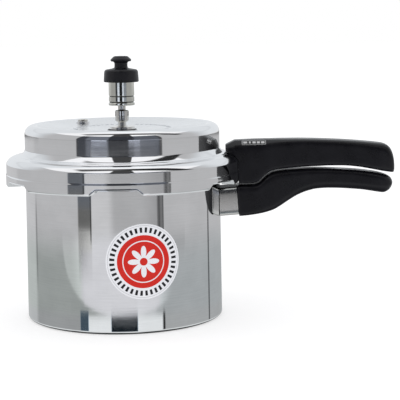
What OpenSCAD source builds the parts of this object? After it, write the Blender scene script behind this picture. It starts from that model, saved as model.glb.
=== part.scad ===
// Stovetop pressure cooker: outer-lid bayonet type, nominal 3 litres.
// Frame: origin at the centre of the pan's base, +Z up the pan's axis,
// +X along the two handles. All lengths in millimetres.

/* [Pan] */
// Outer radius of the pan at its base
pan_r = 90; // [88:0.5:91]
// Outer radius of the pan just under the rim
pan_top_r = 89.2; // [88:0.1:90]
// Thickness of the pan wall
pan_wall = 3.2; // [2.5:0.1:3.6]
// Thickness of the pan base
base_t = 4.5; // [3:0.5:6]
// Height of the rim that the gasket seals on
rim_z = 137; // [136.6:0.1:137]

/* [Bayonet] */
// Number of lugs on the pan and of lips on the lid
lug_n = 6; // [4:1:6]
// Width of one pan lug in degrees
lug_w = 20; // [14:1:21]
// Outer radius of the lugs
lug_r = 101.8; // [99:0.1:102.2]
// Half width of a lid window at the bottom edge
win_bot = 23.2; // [22:0.1:25]
// Half width of a lid window at its flat top
win_top = 17.8; // [16:0.1:20]
// Height of the window's flat top
win_z = 128; // [127:0.2:129]

/* [Lid] */
// Outer radius of the lid's drum
drum_r = 89.1; // [88:0.1:89.6]
// Height of the drum's crest
drum_z = 177.3; // [175:0.1:179]
// Depth of the dish in the lid's top
dish = 6; // [5.4:0.1:6.2]
// Outer radius of the lid's skirt
skirt_r = 106.4; // [106:0.1:107]
// Height of the lid's bottom edge
lip_z = 123.2; // [122.8:0.1:123.4]
// Inner radius of the turned-in lips
lip_r = 94.6; // [94.4:0.1:96]
// Sheet thickness of the lid
lid_t = 2.8; // [2.4:0.1:3]

/* [Regulator weight] */
// Radius of the weight's body
wt_r = 11.75; // [11:0.05:12.5]
// Height of the weight's lower edge above the pan's base
wt_z = 193.7; // [193:0.1:195]
// Radius of the vent's nozzle
nozzle_r = 3.5; // [3:0.1:3.6]
// Radius of the black cap's disc
cap_r = 16.05; // [14:0.05:18]
// Radius of the cap's finger button
btn_r = 9.5; // [8:0.1:11]

/* [Handles] */
// Half width of the steel ferrule
fer_hw = 15; // [14:0.5:15]
// Height of the ferrule
fer_h = 25.4; // [25:0.1:26]
// Diameter of the handle screws
screw_d = 5; // [4:0.5:6]

/* [Sticker] */
// Radius of the round sticker on the pan
label_r = 33; // [25:1:36]
// Height of the sticker's centre
label_z = 64; // [50:1:75]
// Angle of the sticker from the front towards the handle
label_a = 13.8; // [0:0.1:25]

/* [Hidden] */
$fn = 96;
pitch = 360 / lug_n;
crest_r = drum_r - 8;
dish_r = crest_r - 8 * sin(6);
dish_top = drum_z - 8 + 8 * cos(6);
dish_bot = dish_top - dish;
skirt_in = skirt_r - lid_t + 0.1;
// level that the vent tube and the weight are measured from
vent_z = dish_top - 4.3;
// flat seat for the vent in the dish
seat_z = dish_bot + 0.25;
wall_top = 125.8;
plug_x = -40;
plug_y = 46;
plug_z = 176.1;
rivet_r = 1.85;
lean = 0.07;

// ---------- helpers ----------

// Points of an arc in the profile plane, from angle a0 to a1 in n steps
function arc(cx, cz, r, a0, a1, n) =
  [for (i = [0:n]) let (a = a0 + (a1 - a0) * i / n) [cx + r * cos(a), cz + r * sin(a)]];

// Points of the shallow dish, dz below the outer surface, from radius r0 to r1
function dish_pts(r0, r1, dz, n) =
  [for (i = [0:n]) let (r = r0 + (r1 - r0) * i / n) [r, dish_bot - dz + dish * pow(r / dish_r, 2)]];

// A tube with plain ends
module tube(ro, ri, h) {
  difference() {
    cylinder(r = ro, h = h);
    translate([0, 0, -1]) cylinder(r = ri, h = h + 2);
  }
}

// A rectangle with round corners, centred
module rrect(w, h, r) {
  union() {
    square([w - 2 * r, h], center = true);
    square([w, h - 2 * r], center = true);
    for (x = [-1, 1], y = [-1, 1])
      translate([x * (w / 2 - r), y * (h / 2 - r)]) circle(r = r, $fn = 32);
  }
}

// A round-cornered bar along X, from x0 to x1, centred on Y and Z
module bar_x(x0, x1, w, h, r) {
  translate([x0, 0, 0]) rotate([90, 0, 90]) linear_extrude(height = x1 - x0) rrect(w, h, r);
}

// Follows the lower handle's upward lean about the pan wall
module leaning() {
  translate([88, 0, 104.8]) rotate([0, -4, 0]) children();
}

// Half outline of a handle section: flat top, top edge bevelled or rounded
// (q from 0 to 1), upright side, rounded lower edge
function half_sec(zt, zb, hw, bw, bh, q, rb) = concat(
  [for (k = [0:4]) let (t = k / 4, c = cos(90 * t), s = sin(90 * t))
    [hw - bw + bw * ((1 - q) * t + q * s), zt - bh + bh * ((1 - q) * (1 - t) + q * c)]],
  [for (k = [0:4]) let (a = 90 * k / 4) [hw - rb + rb * cos(a), zb + rb - rb * sin(a)]]);

// Whole section of one station [x, zt, zb, hw, bw, bh, q, rb, lean]
function sec(s) = let (h = half_sec(s[1], s[2], s[3], s[4], s[5], s[6], s[7]), n = len(h))
  concat(
    [for (p = h) [s[0] - s[8] * (p[1] - 105), p[0], p[1]]],
    [for (i = [n - 1:-1:0]) [s[0] - s[8] * (h[i][1] - 105), -h[i][0], h[i][1]]]);

// Solid lofted through the stations
module loft(st) {
  secs = [for (s = st) sec(s)];
  n = len(secs[0]);
  m = len(secs);
  polyhedron(
    points = [for (s = secs) for (p = s) p],
    faces = concat(
      [[for (i = [0:n - 1]) i]],
      [for (j = [0:m - 2]) for (i = [0:n - 1])
        [j * n + (i + 1) % n, j * n + i, (j + 1) * n + i]],
      [for (j = [0:m - 2]) for (i = [0:n - 1])
        [j * n + (i + 1) % n, (j + 1) * n + i, (j + 1) * n + (i + 1) % n]],
      [[for (i = [n - 1:-1:0]) (m - 1) * n + i]]),
    convexity = 4);
}

// Stations of the lid's handle: x, top, bottom, half width, bevel width,
// bevel height, roundness of the bevel, lower edge radius, lean
LID_HANDLE = [
  [94.6, 156.7, 151.2, 9.6, 4.2, 3.0, 0.2, 1.0, 0],
  [96.4, 157.7, 149.4, 11.8, 5.6, 4.2, 0.1, 1.0, 0],
  [102.8, 160.8, 140.0, 14.0, 7.4, 5.4, 0.1, 1.2, 0],
  [103.4, 160.9, 121.9, 14.1, 7.5, 5.5, 0.1, 1.2, 0],
  [112.0, 161.2, 121.9, 14.3, 7.5, 5.5, 0.1, 1.4, 0],
  [120.0, 161.4, 122.2, 14.4, 7.5, 5.5, 0.15, 1.6, 0],
  [123.5, 161.5, 123.2, 14.4, 7.4, 5.4, 0.15, 1.8, 0],
  [127.5, 161.5, 126.8, 14.3, 7.3, 5.3, 0.2, 2.0, 0],
  [132.0, 161.6, 130.7, 14.2, 7.2, 5.1, 0.3, 2.2, 0],
  [136.0, 161.6, 132.9, 14.0, 7.0, 4.9, 0.4, 2.4, 0],
  [142.0, 161.7, 134.2, 13.7, 6.8, 4.6, 0.6, 2.6, 0],
  [152.0, 161.7, 135.2, 13.3, 6.4, 4.2, 0.8, 2.8, 0],
  [164.0, 161.6, 136.0, 13.0, 6.0, 4.0, 1, 3.0, 0],
  [178.0, 161.2, 136.6, 12.8, 5.8, 4.0, 1, 3.0, 0],
  [190.0, 160.7, 137.0, 12.7, 5.8, 4.0, 1, 3.0, 0],
  [202.0, 160.0, 136.9, 12.8, 5.8, 4.2, 1, 3.0, 0],
  [214.0, 159.1, 135.9, 13.1, 6.0, 4.6, 1, 3.0, 0],
  [226.0, 158.0, 133.9, 13.5, 6.4, 5.0, 1, 3.0, 0],
  [234.0, 157.1, 132.3, 13.6, 6.8, 5.4, 1, 3.2, 0],
  [239.0, 156.3, 131.3, 13.3, 7.0, 5.8, 1, 3.4, 0],
  [242.5, 154.9, 130.7, 12.6, 7.2, 6.2, 1, 3.6, 0],
  [245.3, 152.3, 130.2, 11.5, 7.2, 6.4, 1, 3.6, 0],
  [247.4, 148.4, 129.9, 9.9, 6.6, 6.2, 1, 3.4, 0],
  [248.7, 143.6, 130.2, 7.9, 5.6, 5.2, 1, 3.0, 0],
  [249.3, 138.6, 131.6, 5.6, 4.2, 2.6, 1, 2.2, 0]];

// Stations of the pan's handle
PAN_HANDLE = [
  [94.3, 116.8, 93.7, 13.8, 1.1, 1.1, 1, 1.1, lean],
  [105.3, 117.5, 94.45, 13.8, 1.1, 1.1, 1, 1.1, lean],
  [105.6, 119.4, 92.0, 15.0, 5.0, 3.2, 1, 1.5, lean],
  [106.7, 120.2, 91.9, 15.4, 7.0, 3.8, 1, 2.2, lean],
  [112.0, 120.4, 92.2, 15.5, 7.5, 4.0, 1, 2.6, 0.05],
  [120.0, 120.5, 93.0, 15.4, 7.5, 4.1, 1, 3.0, 0.02],
  [124.5, 122.0, 93.6, 15.2, 7.5, 4.3, 1, 3.4, 0],
  [128.5, 125.4, 94.3, 15.0, 7.5, 4.4, 1, 3.8, 0],
  [133.0, 129.2, 95.4, 14.8, 7.5, 4.3, 1, 4.2, 0],
  [138.0, 131.6, 97.0, 14.6, 7.5, 4.4, 1, 4.6, 0],
  [145.0, 132.9, 100.9, 14.2, 7.5, 4.4, 1, 5.0, 0],
  [152.0, 133.5, 105.4, 13.7, 7.2, 4.4, 1, 5.4, 0],
  [160.0, 133.9, 110.0, 13.2, 6.8, 4.3, 1, 5.8, 0],
  [169.0, 134.3, 113.5, 12.7, 6.2, 4.2, 1, 6.0, 0],
  [178.0, 134.4, 115.5, 12.4, 5.6, 4.1, 1, 6.0, 0],
  [188.0, 134.1, 116.0, 12.2, 5.0, 3.9, 1, 6.0, 0],
  [198.0, 133.5, 115.8, 12.3, 4.6, 3.8, 1, 6.0, 0],
  [208.0, 132.9, 115.2, 12.6, 4.6, 3.8, 1, 6.0, 0],
  [218.0, 132.0, 114.4, 13.0, 4.8, 4.0, 1, 6.2, 0],
  [227.0, 130.8, 113.1, 13.3, 5.0, 4.2, 1, 6.4, 0],
  [234.0, 129.6, 111.9, 13.3, 5.2, 4.6, 1, 6.6, 0],
  [239.0, 128.4, 111.3, 12.7, 5.6, 5.0, 1, 6.6, 0],
  [242.5, 127.2, 112.4, 11.5, 5.8, 5.4, 1, 6.2, 0],
  [245.3, 125.6, 114.6, 9.6, 5.6, 5.2, 1, 5.2, 0],
  [247.0, 123.6, 117.4, 7.0, 4.4, 3.2, 1, 2.8, 0],
  [247.7, 121.9, 119.3, 4.4, 3.0, 1.4, 1, 1.1, 0]];

// ---------- pan ----------

// Wall, base and flared rim in one pressing
module pan_shell() {
  rotate_extrude() polygon(concat(
    [[0, 0]],
    arc(pan_r - 6, 6, 6, -90, 0, 9),
    [[pan_top_r, wall_top], [pan_top_r + 0.4, wall_top + 0.9], [92.7, 130.1], [93.5, 131.3]],
    arc(92.6, rim_z - 0.9, 0.9, 0, 90, 4),
    arc(pan_top_r - pan_wall + 1.2, rim_z - 1.2, 1.2, 90, 180, 4),
    [[pan_top_r - pan_wall, 120], [pan_r - pan_wall - 0.1, 14]],
    arc(pan_r - pan_wall - 6.1, base_t + 6, 6, 0, -90, 8),
    [[0, base_t]]));
}

// One bayonet lug, centred on angle a
module lug(a) {
  rotate([0, 0, a - lug_w / 2]) rotate_extrude(angle = lug_w)
    polygon([[88.4, 127.1], [lug_r - 1, 127.1], [lug_r, 128.1], [lug_r, 130.6],
      [lug_r - 1.2, 131.8], [88.4, 132.6]]);
}

module pan() {
  color([0.78, 0.79, 0.8]) difference() {
    union() {
      pan_shell();
      for (i = [0:lug_n - 1]) lug(i * pitch);
    }
    for (y = [-7.5, 7.5], z = [99, 111]) pan_rivet_hole(y, z);
  }
}

module pan_rivet_hole(y, z) {
  translate([80, y, z]) rotate([0, 90, 0]) cylinder(r = rivet_r + 0.12, h = 14);
}

// Saddle plate on the pan wall with a level tongue for the handle
module pan_bracket() {
  color([0.7, 0.7, 0.71]) difference() {
    union() {
      intersection() {
        translate([0, 0, 94.5]) tube(92.2, pan_r - 0.2, 20.8);
        translate([84, -12.5, 94.5]) cube([10, 25, 20.8]);
      }
      intersection() {
        translate([0, 0, 103.6]) tube(140, pan_r + 0.2, 3);
        translate([88, -9, 103.6]) cube([44, 18, 3]);
      }
    }
    for (y = [-7.5, 7.5], z = [99, 111]) pan_rivet_hole(y, z);
    translate([120, 0, 90]) cylinder(d = screw_d + 1.2, h = 30);
  }
}

// Four rivets that hold the saddle to the pan wall
module pan_bracket_rivets() {
  color([0.72, 0.72, 0.73]) for (y = [-7.5, 7.5], z = [99, 111])
    union() {
      intersection() {
        translate([84.2, y, z]) rotate([0, 90, 0]) cylinder(r1 = 3.0, r2 = 4.0, h = 2.0);
        translate([0, 0, 90]) cylinder(r = 85.98, h = 30);
      }
      translate([84.9, y, z]) rotate([0, 90, 0]) cylinder(r = rivet_r, h = 8.4);
      difference() {
        translate([91.2, y, z]) rotate([0, 90, 0]) cylinder(r1 = 4.1, r2 = 3.1, h = 2.25);
        translate([0, 0, 90]) cylinder(r = 92.26, h = 30);
      }
    }
}

// Folded stainless sleeve between the pan wall and the handle
module handle_ferrule() {
  color([0.62, 0.61, 0.6]) difference() {
    leaning() difference() {
      bar_x(-6, 17.2, 2 * fer_hw, fer_h, 2);
      bar_x(-8, 19, 2 * fer_hw - 2, fer_h - 2, 1.2);
    }
    translate([0, 0, 80]) cylinder(r = pan_r - 0.1, h = 60);
  }
}

module pan_handle() {
  color([0.09, 0.09, 0.1]) difference() {
    difference() {
      loft(PAN_HANDLE);
      // slot for the saddle's tongue
      translate([90, -9.2, 103.4]) cube([42.4, 18.4, 3.4]);
    }
    // bolt hole with a wide mouth for the head, and a pocket for the nut
    translate([120, 0, 90]) cylinder(d = screw_d + 0.4, h = 24);
    translate([120, 0, 88]) cylinder(d = 11.2, h = 10.4);
    translate([120, 0, 108.2]) cylinder(d = 10.6, h = 4.4, $fn = 6);
  }
}

module pan_handle_bolt() {
  color([0.75, 0.75, 0.76]) difference() {
    union() {
      translate([120, 0, 98.4 - 3]) cylinder(r = 5, h = 3);
      translate([120, 0, 98]) cylinder(d = screw_d, h = 14.4);
    }
    translate([120 - 6, -0.6, 95]) cube([12, 1.2, 1.6]);
  }
}

module pan_handle_nut() {
  color([0.72, 0.7, 0.62]) difference() {
    translate([120, 0, 108.3]) cylinder(d = 10.2, h = 4.2, $fn = 6);
    translate([120, 0, 107]) cylinder(d = screw_d + 0.06, h = 8);
  }
}

// Round sticker that follows the pan wall
module pan_label() {
  k = (pan_r - pan_top_r) / (wall_top - 6);
  color([0.86, 0.12, 0.1]) intersection() {
    rotate_extrude() polygon([
      [pan_r - k * (20 - 6), 20], [pan_r - k * (20 - 6) + 0.25, 20],
      [pan_r - k * (110 - 6) + 0.25, 110], [pan_r - k * (110 - 6), 110]]);
    rotate([0, 0, label_a - 90]) translate([70, 0, label_z]) rotate([0, 90, 0])
      cylinder(r = label_r, h = 30);
  }
}

// ---------- gasket ----------

// Rubber sealing ring, open towards the axis
module gasket() {
  color([0.16, 0.16, 0.17]) rotate_extrude() polygon(concat(
    [[87.6, rim_z], [99.6, rim_z]],
    arc(99.4, rim_z + 1.6, 1.6, -90, 0, 4),
    arc(99.4, 143.7, 1.6, 0, 90, 4),
    [[89.2, 145.3], [88.0, 144.9], [88.2, 143.9], [95.4, 142.8]],
    arc(95.2, 141.1, 1.7, 70, -70, 6),
    [[88.0, 138.8], [87.2, 137.8]]));
}

// ---------- lid ----------

// Outer surface of the lid from the dish to the turned-in lip, d outside it
function lid_outer(d) = concat(
  dish_pts(0, dish_r, -d, 9),
  arc(crest_r, drum_z - 8, 8 + d, 96, 0, 12),
  [[drum_r + d, 155.2], [drum_r + 0.2 + d, 154.9], [drum_r + 2.7 + 0.6 * d, 150.85 + d], [drum_r + 3.1 + 0.4 * d, 150.55 + d],
   [95.0, 149.95 + d], [95.4, 149.6 + d]],
  arc(skirt_r - 7.828, 140.874, 7.85 + d, 78, 52, 4),
  arc(skirt_r - 7.305, 141.545, 7.0 + d, 46.3, 40.6, 1),
  arc(skirt_r - 13.15, 136.53, 14.7 + d, 36, 27, 2),
  [[skirt_r + d, 142.8], [skirt_r + d, 133.6], [skirt_r + 0.45 + d, 132.8]],
  arc(skirt_r + 0.45 - 2.8, lip_z + 2.8, 2.8 + d, 0, -90, 7));

module lid_shell() {
  rotate_extrude() polygon(concat(
    lid_outer(0),
    arc(lip_r + 1.1, lip_z + 1.1, 1.1, -90, -180, 4),
    [[lip_r, lip_z + 2.4], [lip_r + 0.6, lip_z + 3]],
    arc(skirt_in - 1.2, lip_z + 4.2, 1.2, -90, 0, 3),
    arc(skirt_in - 3.4, 142.2, 3.4, 0, 84, 5),
    [[96.4, 146.1], [94.4, 147.5]],
    arc(drum_r + 3.5, 155, 3.5 + lid_t, 250, 180, 6),
    arc(crest_r, drum_z - 8, 8 - lid_t, 0, 90, 8),
    dish_pts(dish_r - 1, 0, lid_t, 9)));
}

// Opening in the skirt's lower edge that lets a pan lug through
module window(a) {
  rotate([0, 0, a]) translate([90, 0, 0]) rotate([90, 0, 90])
    linear_extrude(height = 22) polygon(concat(
      [[-win_bot - 3, lip_z - 3], [win_bot + 3, lip_z - 3], [win_bot, lip_z + 0.2]],
      arc(win_top - 1.4, win_z - 1.6, 1.6, 20, 90, 4),
      arc(-win_top + 1.4, win_z - 1.6, 1.6, 90, 160, 4),
      [[-win_bot, lip_z + 0.2]]));
}

module lid_rivet_hole(y) {
  translate([98, y, 134.4]) rotate([0, 90, 0]) cylinder(r = rivet_r + 0.12, h = 14);
}

module lid() {
  color([0.8, 0.81, 0.82]) difference() {
    union() {
      lid_shell();
      // flat pressed seat under the safety plug
      translate([plug_x, plug_y, plug_z - 5.2]) cylinder(r = 6.6, h = 5.2);
      // flat pressed seat around the vent
      translate([0, 0, seat_z - 1.6]) cylinder(r = 14, h = 1.6);
      translate([0, 0, seat_z - 3.15]) cylinder(r = 13, h = 1.6);
    }
    for (i = [0:lug_n - 1]) window((i + 0.5) * pitch);
    translate([0, 0, 150]) cylinder(r = 5.05, h = 40);
    translate([plug_x, plug_y, 150]) cylinder(r = 3.6, h = 40);
    for (y = [-7, 7]) lid_rivet_hole(y);
  }
}

// ---------- steam vent ----------

module vent_tube() {
  color([0.72, 0.69, 0.62]) translate([0, 0, vent_z]) difference() {
    union() {
      translate([0, 0, -12]) cylinder(r = 5, h = 14);
      translate([0, 0, 2]) cylinder(r = 3.8, h = 4.2);
      translate([0, 0, 5.9]) cylinder(r1 = 5.1, r2 = 6.4, h = 0.9);
      translate([0, 0, 6.8]) cylinder(r = 6.4, h = 9.0);
      translate([0, 0, 15.8]) cylinder(r1 = 6.4, r2 = 5.7, h = 0.7);
      translate([0, 0, 16.5]) cylinder(r = nozzle_r, h = 12.9);
      translate([0, 0, 29.4]) cylinder(r1 = nozzle_r, r2 = 2.2, h = 1.6);
    }
    translate([0, 0, -13]) cylinder(r = 1.6, h = 42);
    translate([0, 0, 28]) cylinder(r = 0.9, h = 5);
    // cross hole that keeps the foot of the tube from blocking
    translate([0, -8, -11.35]) rotate([-90, 0, 0]) cylinder(r = 0.5, h = 16);
  }
}

module vent_base_nut() {
  color([0.74, 0.74, 0.74]) translate([0, 0, seat_z + 0.42]) difference() {
    union() {
      cylinder(r = 11.6, h = 2.4);
      translate([0, 0, 2.4]) cylinder(r1 = 11.6, r2 = 11.1, h = 0.5);
    }
    translate([0, 0, -1]) cylinder(r = 5.15, h = 5);
  }
}

module vent_upper_seal() {
  color([0.08, 0.08, 0.08]) translate([0, 0, seat_z + 0.03]) tube(13.4, 5.15, 0.36);
}

module vent_lower_seal() {
  color([0.12, 0.12, 0.12]) translate([0, 0, seat_z - 4.67]) tube(8.4, 5.05, 1.5);
}

module vent_lock_nut() {
  color([0.72, 0.7, 0.62]) translate([0, 0, seat_z - 9.2]) difference() {
    cylinder(d = 18.5, h = 4.5, $fn = 6);
    translate([0, 0, -1]) cylinder(r = 5.05, h = 7);
  }
}

// ---------- fusible safety plug ----------

module safety_plug_body() {
  color([0.74, 0.7, 0.6]) translate([plug_x, plug_y, plug_z]) difference() {
    union() {
      cylinder(r = 4.9, h = 1.1);
      translate([0, 0, 1.1]) cylinder(r1 = 4.9, r2 = 4.3, h = 0.8);
      translate([0, 0, -12.7]) cylinder(r = 3.42, h = 12.9);
    }
    translate([0, 0, -13.2]) cylinder(r = 1.75, h = 17.2);
    translate([0, 0, 0.7]) cylinder(r1 = 1.75, r2 = 3.1, h = 1.21);
  }
}

module safety_plug_core() {
  color([0.55, 0.56, 0.58]) translate([plug_x, plug_y, plug_z])
    union() {
      translate([0, 0, -10.7]) cylinder(r = 1.65, h = 11.4);
      translate([0, 0, 0.7]) cylinder(r1 = 1.65, r2 = 2.4, h = 0.7);
    }
}

module safety_plug_seal() {
  color([0.12, 0.12, 0.12]) translate([plug_x, plug_y, plug_z - 6.72]) tube(6.2, 3.55, 1.5);
}

module safety_plug_nut() {
  color([0.72, 0.7, 0.62]) translate([plug_x, plug_y, plug_z - 10.85]) difference() {
    cylinder(d = 12.7, h = 4.1, $fn = 6);
    translate([0, 0, -1]) cylinder(r = 3.55, h = 7);
  }
}

// ---------- lid handle ----------

// Saddle plate on the skirt with a level tongue for the handle
module lid_bracket() {
  color([0.7, 0.7, 0.71]) difference() {
    union() {
      intersection() {
        translate([0, 0, 127.6]) tube(109.3, skirt_r + 0.5, 15.4);
        translate([100, -11, 127.6]) cube([12, 22, 15.4]);
      }
      intersection() {
        translate([0, 0, 140.4]) tube(160, skirt_r + 0.8, 2.6);
        translate([104, -8.5, 140.4]) cube([40, 17, 2.6]);
      }
    }
    for (y = [-7, 7]) lid_rivet_hole(y);
    translate([131, 0, 120]) cylinder(d = screw_d + 0.6, h = 40);
  }
}

// Two rivets that hold the saddle to the skirt
module lid_bracket_rivets() {
  color([0.72, 0.72, 0.73]) for (y = [-7, 7])
    union() {
      intersection() {
        translate([102.25, y, 134.4]) rotate([0, 90, 0]) cylinder(r1 = 3.1, r2 = 3.8, h = 1.6);
        translate([0, 0, 125]) cylinder(r = skirt_in - 0.07, h = 20);
      }
      translate([102.8, y, 134.4]) rotate([0, 90, 0]) cylinder(r = rivet_r, h = 7.6);
      difference() {
        translate([108.4, y, 134.4]) rotate([0, 90, 0]) cylinder(r1 = 3.9, r2 = 3.0, h = 2.2);
        translate([0, 0, 125]) cylinder(r = 109.36, h = 20);
      }
    }
}

// Outside of the lid's flange and skirt with a small gap, that the handle is cut to
module lid_envelope() {
  rotate_extrude() polygon([
    [60, 115], [skirt_r + 0.7, 115], [skirt_r + 0.7, 143.1], [skirt_r - 0.1, 145.1],
    [104.2, 147.5], [101.5, 148.8], [95, 150.4], [60, 150.4]]);
}

module lid_handle() {
  color([0.09, 0.09, 0.1]) difference() {
    difference() {
      loft(LID_HANDLE);
      lid_envelope();
      // pocket behind the saddle plate
      translate([0, 0, 127.2]) intersection() {
        cylinder(r = 111.2, h = 16.2);
        translate([100, -11.3, 0]) cube([14, 22.6, 16.2]);
      }
    }
    // slot for the saddle's tongue
    translate([104, -8.7, 140.2]) cube([40.4, 17.4, 3]);
    // screw hole with a wide mouth below, and a pocket for the nut
    translate([131, 0, 125]) cylinder(d = screw_d + 0.4, h = 26.5);
    translate([131, 0, 118]) cylinder(d = 10.2, h = 16.6);
    translate([131, 0, 145.4]) cylinder(d = 9.6, h = 4.3, $fn = 6);
    // shallow seat for the plate on the near bevel
    translate([120.3, -10.75, 158.85]) rotate([36.6, 0, 0]) translate([0, 0, -0.26])
      linear_extrude(height = 4) rrect(22.3, 6.5, 1.15);
  }
}

module lid_handle_screw() {
  color([0.75, 0.75, 0.76]) difference() {
    union() {
      translate([131, 0, 132.0]) cylinder(r1 = 4.1, r2 = 4.6, h = 0.8);
      translate([131, 0, 132.8]) cylinder(r = 4.6, h = 1.8);
      translate([131, 0, 134]) cylinder(d = screw_d, h = 16.4);
    }
    translate([126, -0.6, 131.5]) cube([10, 1.2, 1.7]);
  }
}

module lid_handle_nut() {
  color([0.72, 0.7, 0.62]) difference() {
    translate([131, 0, 145.5]) cylinder(d = 9.2, h = 4.1, $fn = 6);
    translate([131, 0, 144]) cylinder(d = screw_d + 0.06, h = 8);
  }
}

// Slim plain plate on the near bevel of the handle's top edge
module lid_handle_badge() {
  color([0.75, 0.75, 0.76]) translate([120.3, -10.75, 158.85]) rotate([36.6, 0, 0])
    translate([0, 0, -0.2]) linear_extrude(height = 0.6) rrect(22, 6.2, 1);
}

// ---------- regulator weight ----------

// Cone-tipped pin that closes the nozzle, guided in the weight
module weight_needle() {
  color([0.78, 0.78, 0.76]) union() {
    translate([0, 0, vent_z + 31.05 - 1.2]) cylinder(r1 = 0.3, r2 = 0.85, h = 1.2);
    translate([0, 0, vent_z + 31.05]) cylinder(r1 = 2.2, r2 = 3.6, h = 1.2);
    translate([0, 0, vent_z + 32.25]) cylinder(r = 3.6, h = 1.2);
    translate([0, 0, vent_z + 33.45]) cylinder(r = 2.4, h = 12);
  }
}

module weight_body() {
  top = 215;
  chamber = vent_z + 33.45;
  color([0.73, 0.72, 0.69]) difference() {
    rotate_extrude() polygon([
      [0, wt_z], [wt_r - 0.35, wt_z], [wt_r + 0.25, wt_z + 0.7], [wt_r + 0.25, wt_z + 2.3],
      [wt_r - 0.2, wt_z + 2.7], [wt_r - 0.8, wt_z + 2.9], [wt_r - 0.8, wt_z + 3.6],
      [wt_r, wt_z + 3.8],
      [wt_r, wt_z + 8.0], [wt_r - 0.7, wt_z + 8.15], [wt_r - 0.7, wt_z + 8.85], [wt_r, wt_z + 9.0],
      [wt_r, top], [4, top], [4, top + 9], [0, top + 9]]);
    // chamber around the nozzle, open below
    translate([0, 0, wt_z - 1]) cylinder(r = 4.6, h = chamber - wt_z + 1);
    // groove for the clip ring
    translate([0, 0, wt_z + 1.4]) cylinder(r = 5.6, h = 1.1);
    // guide hole for the needle
    translate([0, 0, wt_z]) cylinder(r = 2.45, h = chamber - wt_z + 12.6);
    // steam ports
    for (a = [60, 120]) rotate([0, 0, a]) translate([0, 0, wt_z + 11])
      rotate([0, 90, 0]) cylinder(r = 1.1, h = 20);
  }
}

// Split ring that snaps the weight over the nozzle
module weight_clip_ring() {
  color([0.7, 0.7, 0.72]) difference() {
    translate([0, 0, wt_z + 1.5]) tube(5.5, 3.95, 0.9);
    translate([-8, -1, wt_z]) cube([8, 2, 5]);
  }
}

// Moulded black knob: disc, neck and finger button
module weight_cap() {
  color([0.07, 0.07, 0.08]) difference() {
    rotate_extrude() polygon(concat(
      [[0, 215.05], [cap_r - 0.6, 215.05], [cap_r, 215.7], [cap_r - 0.5, 223.5]],
      arc(cap_r - 3.3, 223.8, 2.8, 0, 78, 5),
      [[8, 227.4]],
      arc(7.3, 228.4, 1.0, 280, 180, 3),
      [[6.0, 229.5], [6.0, 232.6], [7.2, 233.7], [btn_r - 0.6, 233.7], [btn_r, 234.4],
       [btn_r - 0.1, 235.6], [6.6, 238.1], [5.9, 238.5], [0, 238.8]]));
    translate([0, 0, 214]) cylinder(r = 4.05, h = 10.2);
  }
}

// ---------- assembly ----------

pan();
pan_bracket();
pan_bracket_rivets();
handle_ferrule();
pan_handle();
pan_handle_bolt();
pan_handle_nut();
pan_label();
gasket();
lid();
vent_tube();
vent_base_nut();
vent_upper_seal();
vent_lower_seal();
vent_lock_nut();
safety_plug_body();
safety_plug_core();
safety_plug_seal();
safety_plug_nut();
lid_bracket();
lid_bracket_rivets();
lid_handle();
lid_handle_screw();
lid_handle_nut();
lid_handle_badge();
weight_needle();
weight_body();
weight_cap();
weight_clip_ring();
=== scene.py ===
import math

import bmesh
import bpy
from mathutils import Matrix, Vector


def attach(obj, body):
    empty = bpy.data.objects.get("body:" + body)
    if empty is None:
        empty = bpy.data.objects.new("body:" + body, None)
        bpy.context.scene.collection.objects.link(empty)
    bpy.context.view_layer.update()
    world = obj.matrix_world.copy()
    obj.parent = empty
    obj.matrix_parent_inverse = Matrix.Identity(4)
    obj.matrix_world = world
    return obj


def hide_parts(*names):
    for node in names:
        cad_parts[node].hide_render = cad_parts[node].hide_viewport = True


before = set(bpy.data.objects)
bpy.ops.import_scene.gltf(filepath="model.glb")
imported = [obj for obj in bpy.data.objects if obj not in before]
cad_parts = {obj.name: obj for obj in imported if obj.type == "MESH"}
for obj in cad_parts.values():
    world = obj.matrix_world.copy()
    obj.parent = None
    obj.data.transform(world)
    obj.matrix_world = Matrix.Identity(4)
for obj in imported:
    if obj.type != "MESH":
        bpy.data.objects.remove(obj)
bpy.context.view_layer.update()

MM = 0.001
scene = bpy.context.scene
scene.view_settings.view_transform = "Standard"
scene.view_settings.look = "None"

# ---------------------------------------------------------------- sizes (mm), as in the CAD
PAN_R, PAN_TOP_R, PAN_WALL, BASE_T, RIM_Z = 90.0, 89.2, 3.2, 4.5, 137.0
LUG_R, LUG_W, PITCH = 101.8, 20.0, 60.0
CREST_R, DISH, DISH_TOP = 81.1, 6.0, 177.256
DISH_R = 80.264
VENT_Z = DISH_TOP - 4.3
DISH_Z = DISH_TOP - DISH
SEAT_Z = DISH_Z + 0.25
DRUM_R, DRUM_Z, LID_T = 89.1, 177.3, 2.8
SKIRT_R, SKIRT_IN, LIP_R, LIP_Z = 106.4, 103.7, 94.6, 123.2
WIN_TOP, WIN_BOT, WIN_Z = 17.8, 23.2, 128.0
PLUG = (-40.0, 46.0, 176.1)
WT_R, WT_Z = 11.75, 193.7
CAP_R, BTN_R = 16.05, 9.5
LABEL_A, LABEL_Z, LABEL_R = 13.8, 64.0, 33.0
WALL_TOP = 125.8


# ---------------------------------------------------------------- outline helpers
def arc(cx, cz, r, a0, a1, n):
    out = []
    for i in range(n + 1):
        a = math.radians(a0 + (a1 - a0) * i / n)
        out.append((cx + r * math.cos(a), cz + r * math.sin(a)))
    return out


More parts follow.
